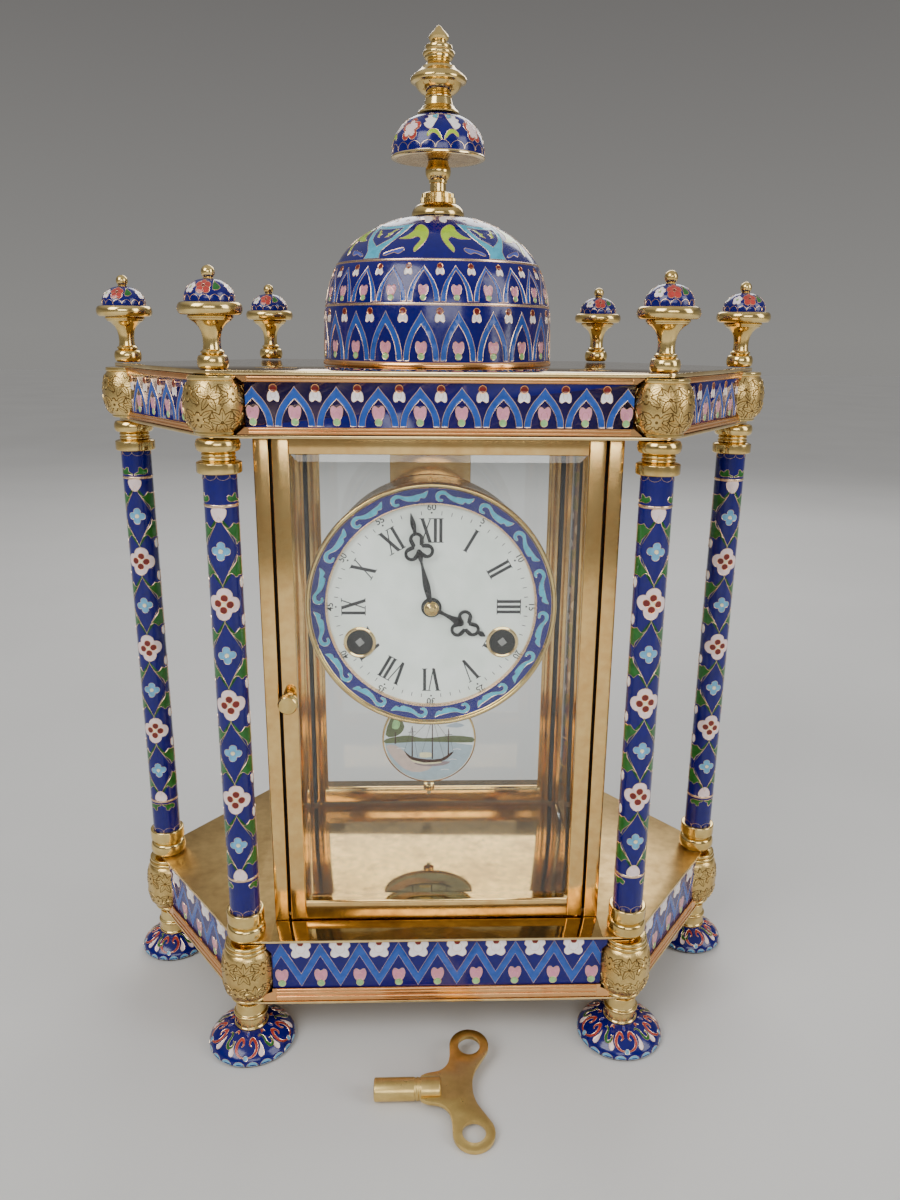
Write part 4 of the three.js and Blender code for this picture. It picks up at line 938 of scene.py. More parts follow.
finial_foot = roof + 0.3
cap_foot = finial_foot + 28.6
cap_profile = raised([(11.0, 0), (11.0, 2.0), (10.2, 4.6), (8.3, 7.0), (5.6, 8.8), (2.6, 9.6)], cap_foot)
cap_smooth = flowing(cap_profile, 3, closed=False)
cap_width = TURN * 11 / 3
cap_work = joined(turned([(0, cap_foot - 0.2), (10.8, cap_foot - 0.2), *cap_smooth, (0, cap_foot + 9.7)],
    "navy", 60), wrapped(repeated(gridded(cap_unit(cap_width), 1.4, (0, 1)), 3, cap_width),
    Skin(cap_smooth, 11.0)))
vase = raised([(0, 0), (5.6, 0), *bulge(5.7, 0.1, 6.0, 1.3, 9), (4.8, 6.3), *bulge(4.6, 6.5, 8.0, 0.7, 5),
               (4.2, 8.4), (3.9, 10.4), (4.0, 13.4), (4.5, 16.0), (5.6, 18.2), (7.4, 20.0), (9.2, 21.0),
               (9.4, 21.6), *bulge(9.6, 21.7, 22.9, 0.5, 4), (11.0, 23.0), *bulge(12.4, 23.1, 28.5, 1.8, 9),
               (11.0, 28.6), (0, 28.6)], finial_foot)
ball_at = finial_foot + 41
ball = [(0, cap_foot + 9.2), (2.2, cap_foot + 9.2), (2.3, cap_foot + 9.9), (1.7, cap_foot + 10.3),
    *[(3 * math.cos(math.radians(d)), ball_at + 3 * math.sin(math.radians(d))) for d in range(-50, 91, 14)],
    (0, ball_at + 3)]
vase_work = joined(turned(vase, "turned_brass", 60), turned(ball, "turned_brass", 36))
for name, (x, y) in corner_at.items():
    piece("finial_cap_" + name, moved(cap_work.copy(), x, y), "clock_case", "dome_enamel", "finial_" + name)
    piece("finial_vase_" + name, moved(vase_work.copy(), x, y), "clock_case", "turned_brass",
        "finial_" + name)


# ---- Plates ----

case_reach = limits("case_post_front_right")[1].x


def plate(name, low, high):
    """A six-sided sheet with softened corners. The base's top sheet is worn satin beside the case."""
    work = bmesh.new()
    corners = [work.verts.new((p.x, p.y, low)) for p in outline_through_corners(6.6)]
    work.faces.new(corners)
    bmesh.ops.bevel(work, geom=work.verts[:], offset=3, segments=6, affect="VERTICES", profile=0.5,
        material=-1)
    thickened(work, high - low)
    rims = [e for e in work.edges if len(e.link_faces) == 2 and abs(e.calc_face_angle(0)) > 1.2]
    bmesh.ops.bevel(work, geom=rims, offset=0.35, segments=2, affect="EDGES", profile=0.5, material=-1)
    paint(work.faces, "plate_brass")
    paint([f for f in work.faces if abs(f.normal.z) < 0.95], "edge_brass")
    if name == "base_top_plate":
        for side in (-1, 1):
            cut(work, (side * case_reach, 0, 0), (1, 0, 0))
        top = [f for f in work.faces if f.normal.z > 0.95 and abs(f.calc_center_median().x) > case_reach]
        paint(top, "satin_brass")
    piece(name + "_sheet", work, "clock_case", "plate_brass", name)


plate("base_bottom_plate", base_plate_low, base_box_low)
plate("base_top_plate", base_box_high, case_low)
plate("canopy_bottom_plate", case_high, canopy_low)
plate("canopy_top_plate", canopy_high, roof)


# ---- Friezes ----

def tulip(unit, x, y, size=1.0):
    """A pink flower of three lobes with a green bud below it."""
    bloom = flowing([(0, 0.4), (1.5, 0.6), (2.8, 2.4), (3.4, 5.2), (2.8, 7.4), (1.4, 7.9), (0, 6.9),
                     (-1.4, 7.9), (-2.8, 7.4), (-3.4, 5.2), (-2.8, 2.4), (-1.5, 0.6)], 2)
    patch(unit, shifted(bloom, x, y, 0, size), "pink", 0.0, 0.32)
    arch = flowing([(-1.5, 2.2), (-1.5, 4.2), (0, 5.5), (1.5, 4.2), (1.5, 2.2)], 2, closed=False)
    wire_line(unit, shifted(arch, x, y, 0, size), 0.24)
    dot(unit, x, y - 0.2 * size, 2.15 * size, "light_green", 0.05, 0.36)


def hanging_bloom(unit, x, y, size=1.0):
    """A red dot in its ring with white petals hanging below it."""
    skirt = flowing([(-1.4, -0.8), (-2.7, -2.4), (-2.9, -5.0), (-1.6, -6.2), (0, -5.2), (1.6, -6.2),
        (2.9, -5.0), (2.7, -2.4), (1.4, -0.8)], 2)
    patch(unit, shifted(skirt, x, y, 0, size), "white_petal", 0.0, 0.32)
    arch = flowing([(-1.0, -1.8), (-0.9, -3.6), (0, -4.4), (0.9, -3.6), (1.0, -1.8)], 2, closed=False)
    wire_line(unit, shifted(arch, x, y, 0, size), 0.24)
    patch(unit, circle(x, y, 2.1 * size, 16), "dark_red", 0.05, 0.5 * size, "rail_copper")


def arch_band(unit, width, height, opening):
    """A pointed arch whose opening ends in a point too."""
    half = width / 2 - 0.1
    outside = flowing([(half, 0.2), (0.97 * half, 0.2 * height), (0.82 * half, 0.43 * height),
        (0.57 * half, 0.64 * height), (0.27 * half, 0.82 * height), (0.08 * half, 0.94 * height),
        (0, height)], 2, closed=False)
    inside = flowing([(0, opening), (0.08 * half, 0.93 * opening), (0.27 * half, 0.78 * opening),
        (0.5 * half, 0.5 * opening), (0.6 * half, 0.24 * opening), (0.63 * half, 0.2)], 2, closed=False)
    patch(unit, outside + mirrored(outside)[1:] + mirrored(inside) + inside[1:], "mid_blue", 0.0, 0.36)


def canopy_unit(width, height):
    unit = bmesh.new()
    arch_band(unit, width, height - 1.4, 0.62 * height)
    tulip(unit, 0, 2.6, 0.92)
    hanging_bloom(unit, width / 2, height - 2.7)
    return unit


def zigzag(count, period, low, high, thick):
    """A band that goes up and down, with a peak in the middle of the row."""
    ends = count * period / 2
    lower = [(i * period / 2 - ends, low if i % 2 == 0 else high - thick) for i in range(2 * count + 1)]
    upper = [(x, y + thick) for x, y in reversed(lower)]
    unit = bmesh.new()
    patch(unit, lower + upper, "mid_blue", 0.0, 0.2)
    return unit


def base_flowers(width, height):
    """A pink flower under a peak and a white one over a valley."""
    unit = bmesh.new()
    tulip(unit, 0, 2.9, 1.08)
    half = [(0, -8.6), (1.6, -9.4), (3.2, -9.8), (4.9, -8.5), (5.2, -6.4), (4.4, -4.5), (5.7, -2.9),
        (5.7, -1.2)]
    outline = flowing(half, 3, closed=False)
    outline = outline + [(5.2, 0), (-5.2, 0)] + mirrored(outline)[:-1]
    patch(unit, shifted(outline, width / 2, height - 0.15), "white_petal", 0.04, 0.34)
    loop_line = [(2.6 * math.sin(a), -3.9 - 3.0 * math.cos(a))
        for a in (math.radians(d) for d in range(-140, 141, 20))]
    wire_line(unit, shifted(loop_line, width / 2, height - 0.15), 0.26, 0.04)
    half_disc = [(-2.0, 0), (-1.7, -1.5), (-0.9, -2.4), (0.9, -2.4), (1.7, -1.5), (2.0, 0)]
    patch(unit, shifted(half_disc, width / 2, height - 0.15), "dark_red", 0.1, 0.3)
    return unit


def side_places():
    """The two ends of each side of the plan, left then right as seen from outside."""
    places = [Vector(corner_at[name]) for name in CORNER_NAMES]
    return [(places[i], places[(i + 1) % 6]) for i in range(6)]


def on_side(left, right, offset, low):
    """A surface that stands upright along one side."""
    along = (right - left).normalized()
    out = Vector((along.y, -along.x))
    middle = (left + right) / 2

    def place(across, up, height):
        flat = middle + along * across + out * (offset + height)
        return Vector((flat.x, flat.y, low + up))
    return place


def frieze(node, panel_low, panel_high, panel_offset, drum_gap, row):
    """The band with copper rails and navy panels, and a row of enamel laid on each side."""
    base = from_node(node)
    paint(base.faces, "rail_copper")
    works = [base]
    for left, right in side_places():
        along = (right - left).normalized()
        out = Vector((along.y, -along.x))
        for face in base.faces:
            centre = face.calc_center_median()
            outside = abs((centre.xy - left).dot(out) - panel_offset) < 0.2
            if face.normal.xy.dot(out) > 0.95 and panel_low < centre.z < panel_high and outside:
                paint([face], "navy")
        reach = (right - left).length / 2 - drum_gap
        pattern = trimmed(row(reach), reach)
        works.append(wrapped(outward(pattern), on_side(left, right, panel_offset, panel_low)))
    return works


canopy_panel = (limits("canopy_frieze")[0].z + 3.2, limits("canopy_frieze")[1].z - 2.7)
base_panel = (limits("base_frieze")[0].z + 7.7, limits("base_frieze")[1].z - 0.1)
ARCH_PERIOD, PEAK_PERIOD = 18.8, 20.9


def canopy_row(reach):
    count = 2 * math.ceil(reach / ARCH_PERIOD)
    unit = gridded(canopy_unit(ARCH_PERIOD, canopy_panel[1] - canopy_panel[0]), 500)
    return repeated(unit, count, ARCH_PERIOD, -ARCH_PERIOD * (count - 1) / 2)


def base_row(reach):
    count = 2 * math.ceil(reach / PEAK_PERIOD - 0.5) + 1
    height = base_panel[1] - base_panel[0]
    flowers = gridded(base_flowers(PEAK_PERIOD, height), 500)
    flowers = repeated(flowers, count + 1, PEAK_PERIOD, -PEAK_PERIOD * (count + 1) / 2)
    return joined(gridded(zigzag(count, PEAK_PERIOD, 0.3, height - 0.4, 8.4), 500), flowers)


canopy_works = frieze("canopy_frieze", *canopy_panel, 5.0, 14.2, canopy_row)
base_works = frieze("base_frieze", *base_panel, 5.0, 14.0, base_row)


def moulding(low, sections, drum_gap):
    """Rounded strips along every side, at heights above a level, as (from, to, offset, out)."""
    works = []
    for left, right in side_places():
        reach = (right - left).length / 2 - drum_gap
        for z0, z1, offset, out in sections:
            strip = block(-reach, reach, z0, z1, -0.6, out, "rail_copper", min(0.45 * (z1 - z0), 0.9 * out),
                3)
            works.append(wrapped(strip, on_side(left, right, offset, low)))
    return works


for name, node, works, drum_gap, sections in (
        ("canopy_band", "canopy_frieze", canopy_works, 15.2,
         [(0.3, 1.5, 5.9, 0.5), (1.9, 3.0, 5.9, 0.4), (23.4, 25.6, 5.9, 0.45)]),
        ("base_band", "base_frieze", base_works, 15.0,
         [(0.3, 3.0, 5.9, 0.6), (3.4, 5.4, 5.9, 0.35), (6.0, 7.5, 5.9, 0.6)])):
    strips = moulding(limits(node)[0].z, sections, drum_gap)
    piece(name, joined(*works, *strips), "clock_case", "frieze_enamel", node)


# ---- Dome ----

dome_middle = tuple((limits("dome_shell")[0] + limits("dome_shell")[1]) / 2)[:2]
dome_profile = raised([(60.3, 3.0), (60.2, 8), (60.0, 15), (59.6, 25), (58.5, 33.5), (56.4, 42),
    (53.0, 49.8), (48.6, 56), (43.2, 61.4), (37.4, 65.6), (31.0, 69.0), (22.5, 72.2), (13.8, 73.9)], roof)
dome_smooth = flowing(dome_profile, 3, closed=False)
LOWER_BAND, UPPER_BAND = roof + 29.7, roof + 49.8
CROWN_RADIUS = 45.0      # where the crown's drawing is true to size


def tier(low, high, count, opening):
    """A ring of arches and flowers between two heights of the dome."""
    below = [p for p in dome_smooth if p[1] > low - 3]
    within = [p[0] for p in below if p[1] < high]
    skin = Skin(below, sum(within) / len(within))
    start, end = skin.length_at(low), skin.length_at(high)
    width, height = TURN * skin.reference / count, end - start
    size = width / 18.4
    unit = bmesh.new()
    arch_band(unit, width, 0.93 * height, opening * height)
    tulip(unit, 0, 2.6 * size + 0.2, 0.9 * size)
    hanging_bloom(unit, width / 2, height - 2.5 * size, 0.9 * size)
    row = repeated(gridded(unit, 2.4, (0, 1)), count, width, width / 2)
    return wrapped(moved(row, 0, start, 0), skin)


def crown():
    """The large leaves and frames round the top of the dome."""
    skin = Skin([p for p in dome_smooth if p[1] > UPPER_BAND - 1], CROWN_RADIUS)
    start = skin.length_at(UPPER_BAND + 0.6)
    unit = bmesh.new()
    side = [(4.6, 0.3), (4.0, 2.6), (4.2, 5.0), (6.8, 9.0), (9.8, 13.6), (12.4, 19.0), (15.2, 26.8),
        (9.4, 25.4), (4.6, 24.6)]
    patch(unit, side + [(0, 24.4)] + mirrored(side), "turquoise", 0.0)
    patch(unit, [(0, 21.2), (-4.6, 21.4), (-9.6, 22.4), (-8.6, 17.8), (-6.0, 12.6), (0, 7.4), (6.0, 12.6),
        (8.6, 17.8), (9.6, 22.4), (4.6, 21.4)], "navy", 0.04, 0.34)
    inner_leaf = flowing([(1.2, 13.6), (4.2, 14.6), (5.0, 17.2), (7.2, 20.6), (4.6, 19.8), (3.4, 17.6),
        (1.6, 17.0), (2.4, 15.4)], 3)
    both(unit, inner_leaf, "yellow_green", 0.08, 0.34)
    small_leaf = flowing([(5.8, 3.2), (8.6, 4.8), (14.6, 6.6), (15.2, 4.6), (12.8, 2.6), (10.6, 3.4),
        (7.2, 1.8), (5.6, 2.0)], 3)
    both(unit, small_leaf, "periwinkle", 0.0, 0.38)
    half_gap = TURN * CROWN_RADIUS / 10
    leaf = flowing([(9.6, 25.2), (6.2, 23.6), (3.0, 18.4), (3.6, 11.2), (8.0, 3.6), (9.2, 6.2), (6.9, 11.4),
        (8.6, 13.6), (12.0, 12.0), (18.2, 12.4), (14.6, 14.6), (12.0, 18.6), (11.6, 22.6)], 3)
    white = flowing([(4.8, 27.2), (2.2, 31.0), (3.2, 36.4), (8.0, 39.4), (13.6, 38.8), (18.4, 35.6),
        (14.2, 35.0), (13.2, 31.8), (9.0, 32.0), (7.8, 28.4)], 3)
    both(unit, leaf, "yellow_green", x=half_gap)
    both(unit, white, "white_petal", x=half_gap)
    for side in (-1, 1):
        dot(unit, side * 5.5, 31.5, 1.5, "navy", 0.0)
    row = repeated(gridded(unit, 3.0, (0, 1)), 5, 2 * half_gap, -half_gap - 2.5)
    return wrapped(moved(row, 0, start, 0), skin)


dome_body = turned([(0, roof + 0.3), (60.8, roof + 0.3), (61.0, roof + 0.7), (61.0, roof + 1.9),
    (60.6, roof + 2.6), *dome_smooth, (0, roof + 73.8)], "navy", 120)
band(dome_body, roof, roof + 2.9, "rail_copper")


def hoop(height, width=1.5, out=0.35):
    """A flat ring round the dome."""
    skin = Skin(dome_smooth, 1.0)
    radius = abs(skin(0, skin.length_at(height), 0).y) - 0.15
    return turned(bulge(radius, height - width / 2, height + width / 2, out, 5), "wire_gold", 120,
        closed=True)


dome_work = joined(dome_body, tier(roof + 3.2, LOWER_BAND - 0.8, 21, 0.66),
    tier(LOWER_BAND + 0.8, UPPER_BAND - 0.9, 23, 0.76), crown(), hoop(LOWER_BAND), hoop(UPPER_BAND))
piece("dome", moved(dome_work, *dome_middle), "clock_case", "dome_enamel", "dome_shell")

stem_foot = roof + 74
stem = raised([(0, 0.3), (13.5, 0.3), (13.7, 1.0), (13.5, 2.2), (12.9, 3.6), (11.9, 4.8), (10.6, 5.8),
    (9.2, 6.4), (8.6, 6.7), (8.6, 9.2), (7.9, 9.3), (7.9, 11.4), (7.2, 11.8), (4.8, 12.0), (4.2, 12.5),
    (4.1, 16.2), (4.6, 16.5), (4.7, 17.8), (5.3, 18.4), (6.3, 20.2), (6.6, 22.0), (6.4, 23.4), (5.6, 24.6),
    (5.2, 26.9), (0, 26.9)], stem_foot)


def toothed(radius, teeth, depth, shares, low, high, finish, ease):
    """A disc with teeth. The shares of a tooth's width say where its top ends and its gap starts and ends."""
    top_end, gap_start, gap_end = shares
    outline = []
    for i in range(teeth):
        for share, reach in ((0.0, radius), (top_end, radius),
                             (gap_start, radius - depth), (gap_end, radius - depth)):
            angle = TURN * (i + share) / teeth
            outline.append((reach * math.cos(angle), reach * math.sin(angle)))
    work = bmesh.new()
    slab(work, outline, finish, low, high, ease)
    return outward(work)


def knurled(radius, low, high, ridges=40):
    """A ring of upright ridges."""
    return toothed(radius, ridges, 0.35, (0.5, 0.62, 0.88), stem_foot + low, stem_foot + high,
        "turned_brass", 0.1)


stem_work = joined(turned(stem, "turned_brass", 64), knurled(9.1, 6.8, 9.1), knurled(8.4, 9.4, 11.3, 36))
piece("stem", moved(stem_work, *dome_middle), "clock_case", "turned_brass", "spire_stem")


SMALL_RADIUS = 24.0


def small_dome_unit():
    """A quarter of the small dome's flowers and leaves."""
    unit = bmesh.new()
    white = flowing([(-6.4, 9.0), (-9.6, 10.2), (-11.2, 12.4), (-10.0, 13.6), (-11.4, 15.4), (-9.4, 16.6),
        (-10.4, 18.6), (-5.6, 19.6), (-2.2, 20.8), (-2.4, 16.5), (-4.2, 12.4)], 3)
    blue = flowing([(-6.4, 16.6), (-3.2, 15.4), (-2.8, 18.0), (-2.5, 20.4), (-6.6, 19.0)], 3)
    leaf = flowing([(-0.3, 3.8), (-1.2, 6.8), (-3.4, 9.2), (-6.6, 9.2), (-8.6, 6.8), (-7.8, 5.2),
        (-5.4, 7.0), (-3.4, 6.2), (-1.9, 4.6)], 3)
    for shape, finish, level in ((white, "white_petal", 0.0), (blue, "turquoise", 0.05),
            (leaf, "yellow_green", 0.0)):
        both(unit, shape, finish, level, 0.36)
    centre = TURN * SMALL_RADIUS / 8
    patch(unit, petals(centre, 10.4, 6.6, 5, 0.4, 90, 1.05), "brick_red", 0.0, 0.4)
    patch(unit, petals(centre, 10.4, 4.6, 5, 0.42, 90, 1.1), "pale_pink", 0.05, 0.34)
    for i in range(5):
        wire_line(unit, bow((i - 2) * 2 * centre / 5, centre / 5 - 0.15, 0.4, 2.4, 4.0, 0.86), 0.42)
    return unit


small_foot = limits("spire_bell")[0].z
small_profile = raised([(23.6, 1.7), (23.6, 4.0), (23.2, 7.0), (22.0, 10.6), (19.4, 14.6), (15.6, 18.0),
    (10.4, 20.4)], small_foot)
small_smooth = flowing(small_profile, 3, closed=False)
small_lip = raised([(0, 0), (21.5, 0), (23.4, 0.1), (24.0, 0.5), (24.0, 1.1), (23.7, 1.5)], small_foot)
small_body = turned([*small_lip, *small_smooth, (0, small_foot + 20.8)], "navy", 96)
band(small_body, small_foot - 1, small_foot + 1.62, "edge_brass")
# Darker movement brass under the small dome's lip: painted shade on its underside.
band(small_body, small_foot - 1, small_foot + 0.05, "movement_brass")
small_pattern = repeated(gridded(small_dome_unit(), 1.9, (0, 1)), 4, TURN * SMALL_RADIUS / 4, 2.0)
piece("small_dome", moved(joined(small_body, wrapped(small_pattern, Skin(small_smooth, SMALL_RADIUS))),
    *dome_middle), "clock_case", "dome_enamel", "spire_bell")

tip = raised([(0, 0), (10.4, 0), (10.5, 0.5), (9.9, 1.3), (9.4, 1.6), (8.5, 2.6), (8.0, 3.4), (7.4, 3.8),
    (7.0, 5.4), (6.6, 7.0), *bulge(6.2, 7.1, 8.3, 0.7, 5), (6.9, 8.6), (8.4, 9.3), (10.0, 10.6),
    (11.2, 12.1), (11.9, 13.5), (12.8, 13.7), (13.8, 14.2), (14.2, 15.0), (14.1, 15.9), (13.4, 16.8),
    (12.7, 17.0), (12.3, 17.8), (11.2, 18.5), (9.6, 19.6), (8.4, 20.8), (8.1, 21.4), (7.5, 21.6),
    (6.3, 22.5), (5.7, 23.4), (5.6, 24.0), (6.4, 24.3), (7.0, 24.9), (7.1, 25.6),
    *bulge(7.1, 25.9, 28.3, 0.9, 7), *bulge(6.3, 28.5, 30.9, 0.5, 6), (5.2, 31.2), (3.9, 31.9), (4.0, 32.6),
    (4.8, 33.4), (5.1, 34.4), (4.6, 35.4), (3.6, 36.5), (2.5, 37.6), (1.6, 38.7), (0.9, 39.5), (0, 40.0)],
    small_foot + 21.3)
piece("tip", moved(turned(tip, "turned_brass", 64), *dome_middle), "clock_case", "turned_brass", "spire_tip")


# ---- Glazed case ----

for node in ("case_post_front_left", "case_post_front_right", "case_post_back_left", "case_post_back_right"):
    low, high = limits(node)
    core = block(low.x, high.x, low.y, high.y, low.z, high.z, "case_brass", 0.5, 3)
    inward = -1 if high.x > 0 else 1
    inner = low.x if high.x > 0 else high.x
    # A black strip on the post's inner face fills the gap by the door with painted shade.
    shade_strip_x = sorted((inner - 0.2 * inward, inner + 2.05 * inward))
    shade_strip_y = (high.y - 1.3, high.y - 0.3) if "front" in node else (low.y + 0.3, low.y + 1.3)
    shade_strip = block(*shade_strip_x, *shade_strip_y, low.z + 1.2, high.z - 1.2, "shadow_black", 0.1, 1)
    piece(node.replace("case_post", "post"), joined(core, shade_strip), "clock_case", "case_brass", node)


SLOPE_DEPTH = 0.9


def pane(name, node, body, ground=0.0):
    """A sheet of glass, its front ground to a slope of the given width round the edge."""
    low, high = limits(node)
    work = bmesh.new()
    bmesh.ops.create_cube(work, size=1)
    bmesh.ops.scale(work, vec=tuple(high - low), verts=work.verts)
    moved(work, *((low + high) / 2))
    if ground:
        front = next(f for f in work.faces if f.normal.y < -0.9)
        bmesh.ops.inset_individual(work, faces=[front], thickness=ground, depth=0)
        kept, level = front.verts[:], front.calc_center_median().y
        edge = [v for v in work.verts if abs(v.co.y - level) < 0.001 and v not in kept]
        bmesh.ops.translate(work, vec=(0, SLOPE_DEPTH, 0), verts=edge)
    paint(work.faces, "glass")
    return piece(name, outward(work), body, "glass", node, crisp=5)


pane("front_glass", "door_glass", "front_door", 7.6)
pane("back_glass", "back_door_glass", "back_door")
pane("left_glass", "side_glass_left", "clock_case")
pane("right_glass", "side_glass_right", "clock_case")


def door(node, front):
    """Two stiles with the rails between them, a thin lip round the glass, and the hinge pins."""
    low, high = limits(node)
    low_z, high_z = case_low + 1.2, case_high - 1.2
    y_out = low.y if front else high.y
    middle = (low.x + high.x) / 2
    half = (high.x - low.x) / 2
    facing = 1 if front else -1
    works = []

    def bar(x0, x1, z0, z1, depth0, depth1, ease, finish="case_brass"):
        y0, y1 = sorted((y_out + facing * depth0, y_out + facing * depth1))
        works.append(block(middle + x0, middle + x1, y0, y1, z0, z1, finish, ease, 3))

    for side in (-1, 1):
        a, b = sorted((side * half, side * (half - 8)))
        bar(a, b, low_z, high_z, 0, 2.5, 0.45)
        a, b = sorted((side * half, side * (half - 6.2)))
        bar(a, b, low_z, high_z, 2.4, 5, 0.2)
        a, b = sorted((side * (half - 7.1), side * (half - 8.1)))
        bar(a, b, low_z + 9.8, high_z - 7.8, 0.5, 2.3, 0.3)
    for z0, z1, back0, back1 in ((low_z, low_z + 10, low_z, low_z + 8.2),
            (high_z - 8, high_z, high_z - 6.2, high_z)):
        bar(-half + 8.06, half - 8.06, z0, z1, 0.05, 2.5, 0.45)
        bar(-half + 6.2, half - 6.2, back0, back1, 2.4, 5, 0.2)
    pin_x = (half - 2.5) * (1 if front else -1)
    for z0, z1 in ((low_z - 2.2, low_z + 1), (high_z - 1, high_z + 2.2)):
        works.append(moved(rod(1.3, z0, z1, "turned_brass", 20), middle + pin_x, y_out + facing * 2.5))
    if not front:
        for z in (low_z + 22, high_z - 22):
            for side in (-1, 1):
                screw = turned(eased([(0, 0), (1.5, 0), (1.3, 0.5), (0, 0.6)], 0.2), "turned_brass", 18)
                screw = joined(screw, block(-1.2, 1.2, -0.16, 0.16, 0.5, 0.64, "shadow_black", 0))
                works.append(moved(rotated(screw, -90, "X"), middle + side * (half - 4), y_out - 0.1, z))
    return works


piece("front_door_bars", joined(*door("door_frame", True)), "front_door", "case_brass", "door_frame")
back_works = door("back_door_frame", False)
low, high = limits("back_door_frame")
pull = turned(eased([(0, 0), (2.4, 0), (1.6, 1.2), (1.5, 3.6), (3.2, 5.2), (3.8, 7.0), (3.0, 8.6), (0, 9.0)],
    0.5), "turned_brass", 36)
back_works.append(moved(rotated(pull, -90, "X"), high.x - 4, high.y, (low.z + high.z) / 2))
piece("back_door_bars", joined(*back_works), "back_door", "case_brass", "back_door_frame")

knob_low, knob_high = limits("door_knob")
knob_x, knob_z = (knob_low.x + knob_high.x) / 2, knob_low.z + 5.0
door_front = limits("door_frame")[0].y
knob = [(0, 9.8), (3.4, 9.9), (4.3, 9.9), (4.7, 9.5), (4.8, 8.7), (5.0, 8.4), (5.25, 7.4), (5.1, 6.4),
    (4.6, 6.1), (4.6, 5.6), (4.95, 5.2), (4.9, 4.4), (4.3, 3.9), (3.9, 3.6), (3.9, 2.8), (3.6, 2.4),
    (3.7, 0.3), (1.3, 0.3), (1.3, -9.0), (0, -9.0)]
knob_work = facing_front(turned(list(reversed(knob)), "turned_brass", 48), knob_x, door_front, knob_z)
blade_low, blade_high = knob_x - 2, knob_x + 2
blade = block(blade_low, blade_high, door_front + 7.55, door_front + 9.05, knob_z - 2, knob_high.z,
    "case_brass", 0.35)
piece("knob", joined(knob_work, blade), "door_knob", "turned_brass", "door_knob")


# ---- Dial ----

bezel_low, bezel_high = limits("bezel")
dial_x, dial_z = (bezel_low.x + bezel_high.x) / 2, (bezel_low.z + bezel_high.z) / 2
dial_y = bezel_low.y


def on_dial(work):
    """Stand up a work drawn round the dial's middle, with heights from the front of the bezel."""
    return facing_front(work, dial_x, dial_y, dial_z)


def ring_place(reference):
    """A flat ring: clockwise across, outward up."""
    def place(across, up, height):
        angle = across / reference
        return Vector((up * math.sin(angle), up * math.cos(angle), height))
    return place


rim = turned(eased([(62.1, -5.8), (64.6, -5.8), (65.0, -5.0), (65.0, -1.0), (64.5, -0.2), (63.7, 0.0),
    (63.0, -0.3), (62.5, -1.3), (62.1, -1.6)], 0.4), "turned_brass", 120, closed=True)
seat = turned([(54.3, -3.2), (62.3, -3.2), (62.3, -1.5), (54.3, -1.5)], "navy", 120, closed=True)
lip = turned(eased([(53.6, -3.3), (54.5, -3.3), (54.9, -1.6), (54.6, -1.2), (54.2, -1.2), (53.8, -1.8)],
    0.2), "wire_gold", 120, closed=True)
scroll = flowing([(-6.4, -2.8), (-8.2, -2.8), (-9.6, -1.1), (-9.5, 1.3), (-7.7, 2.8), (-5.1, 3.0),
    (-2.3, 1.4), (0.8, 0.9), (4.4, 1.3), (7.1, 1.7), (9.7, 2.8), (9.0, 0.2), (7.6, -1.2), (5.7, -0.8),
    (4.9, -2.1), (2.5, -2.3), (-0.8, -1.8), (-3.4, -0.4), (-4.9, 0.8), (-6.8, 0.7), (-7.6, -0.3),
    (-7.2, -1.2), (-5.8, -1.3), (-5.4, -2.4)], 2)
ring_unit = bmesh.new()
patch(ring_unit, scroll, "turquoise", 0.0, 0.22)
SCROLL_RADIUS = 58.3
scroll_width = TURN * SCROLL_RADIUS / 16
ring_row = repeated(gridded(ring_unit, 3.0), 16, scroll_width, scroll_width / 2)
moved(ring_row, 0, SCROLL_RADIUS, -1.5)
bezel_work = joined(rim, seat, wrapped(ring_row, ring_place(SCROLL_RADIUS)), lip)
piece("bezel_ring", on_dial(bezel_work), "clock_case", "dial_enamel", "bezel")

DIAL_FACE = -3.6       # the dial's face, from the front of the bezel
WINDING = [(-37.3, -19.3), (37.3, -19.3)]     # the two winding holes


def numeral(text):
    """A roman numeral as outlines, 12.6 tall, thick and thin strokes with fine feet."""
    strokes, x = [], 0.0
    tall = 12.6
    for letter in text:
        if letter == "I":
            strokes += [[(x + 0.6, 0), (x + 2.2, 0), (x + 2.2, tall), (x + 0.6, tall)]]
            feet = [(x, x + 2.8)]
            wide = 2.8
        elif letter == "V":
            strokes += [[(x + 2.8, 0), (x + 4.4, 0), (x + 2.1, tall), (x + 0.4, tall)],
                [(x + 3.4, 0), (x + 4.0, 0), (x + 6.3, tall), (x + 5.75, tall)]]
            feet = [(x - 0.2, x + 2.6), (x + 5.1, x + 7.0)]
            wide = 6.9
        else:
            strokes += [[(x + 4.5, 0), (x + 6.3, 0), (x + 2.2, tall), (x + 0.4, tall)],
                [(x + 0.8, 0), (x + 1.4, 0), (x + 5.8, tall), (x + 5.2, tall)]]
            feet = [(x - 0.1, x + 2.5), (x + 4.5, x + 6.6)]
            wide = 6.6
        for a, b in feet:
            strokes.append([(a, tall - 0.42), (b, tall - 0.42), (b, tall), (a, tall)])
            if letter != "V":
                strokes.append([(a, 0), (b, 0), (b, 0.42), (a, 0.42)])
        if letter == "V":
            strokes.append([(x + 2.9, 0), (x + 4.3, 0), (x + 3.7, -0.25)])
        x += wide
    return [[(px - x / 2, py) for px, py in points] for points in strokes]


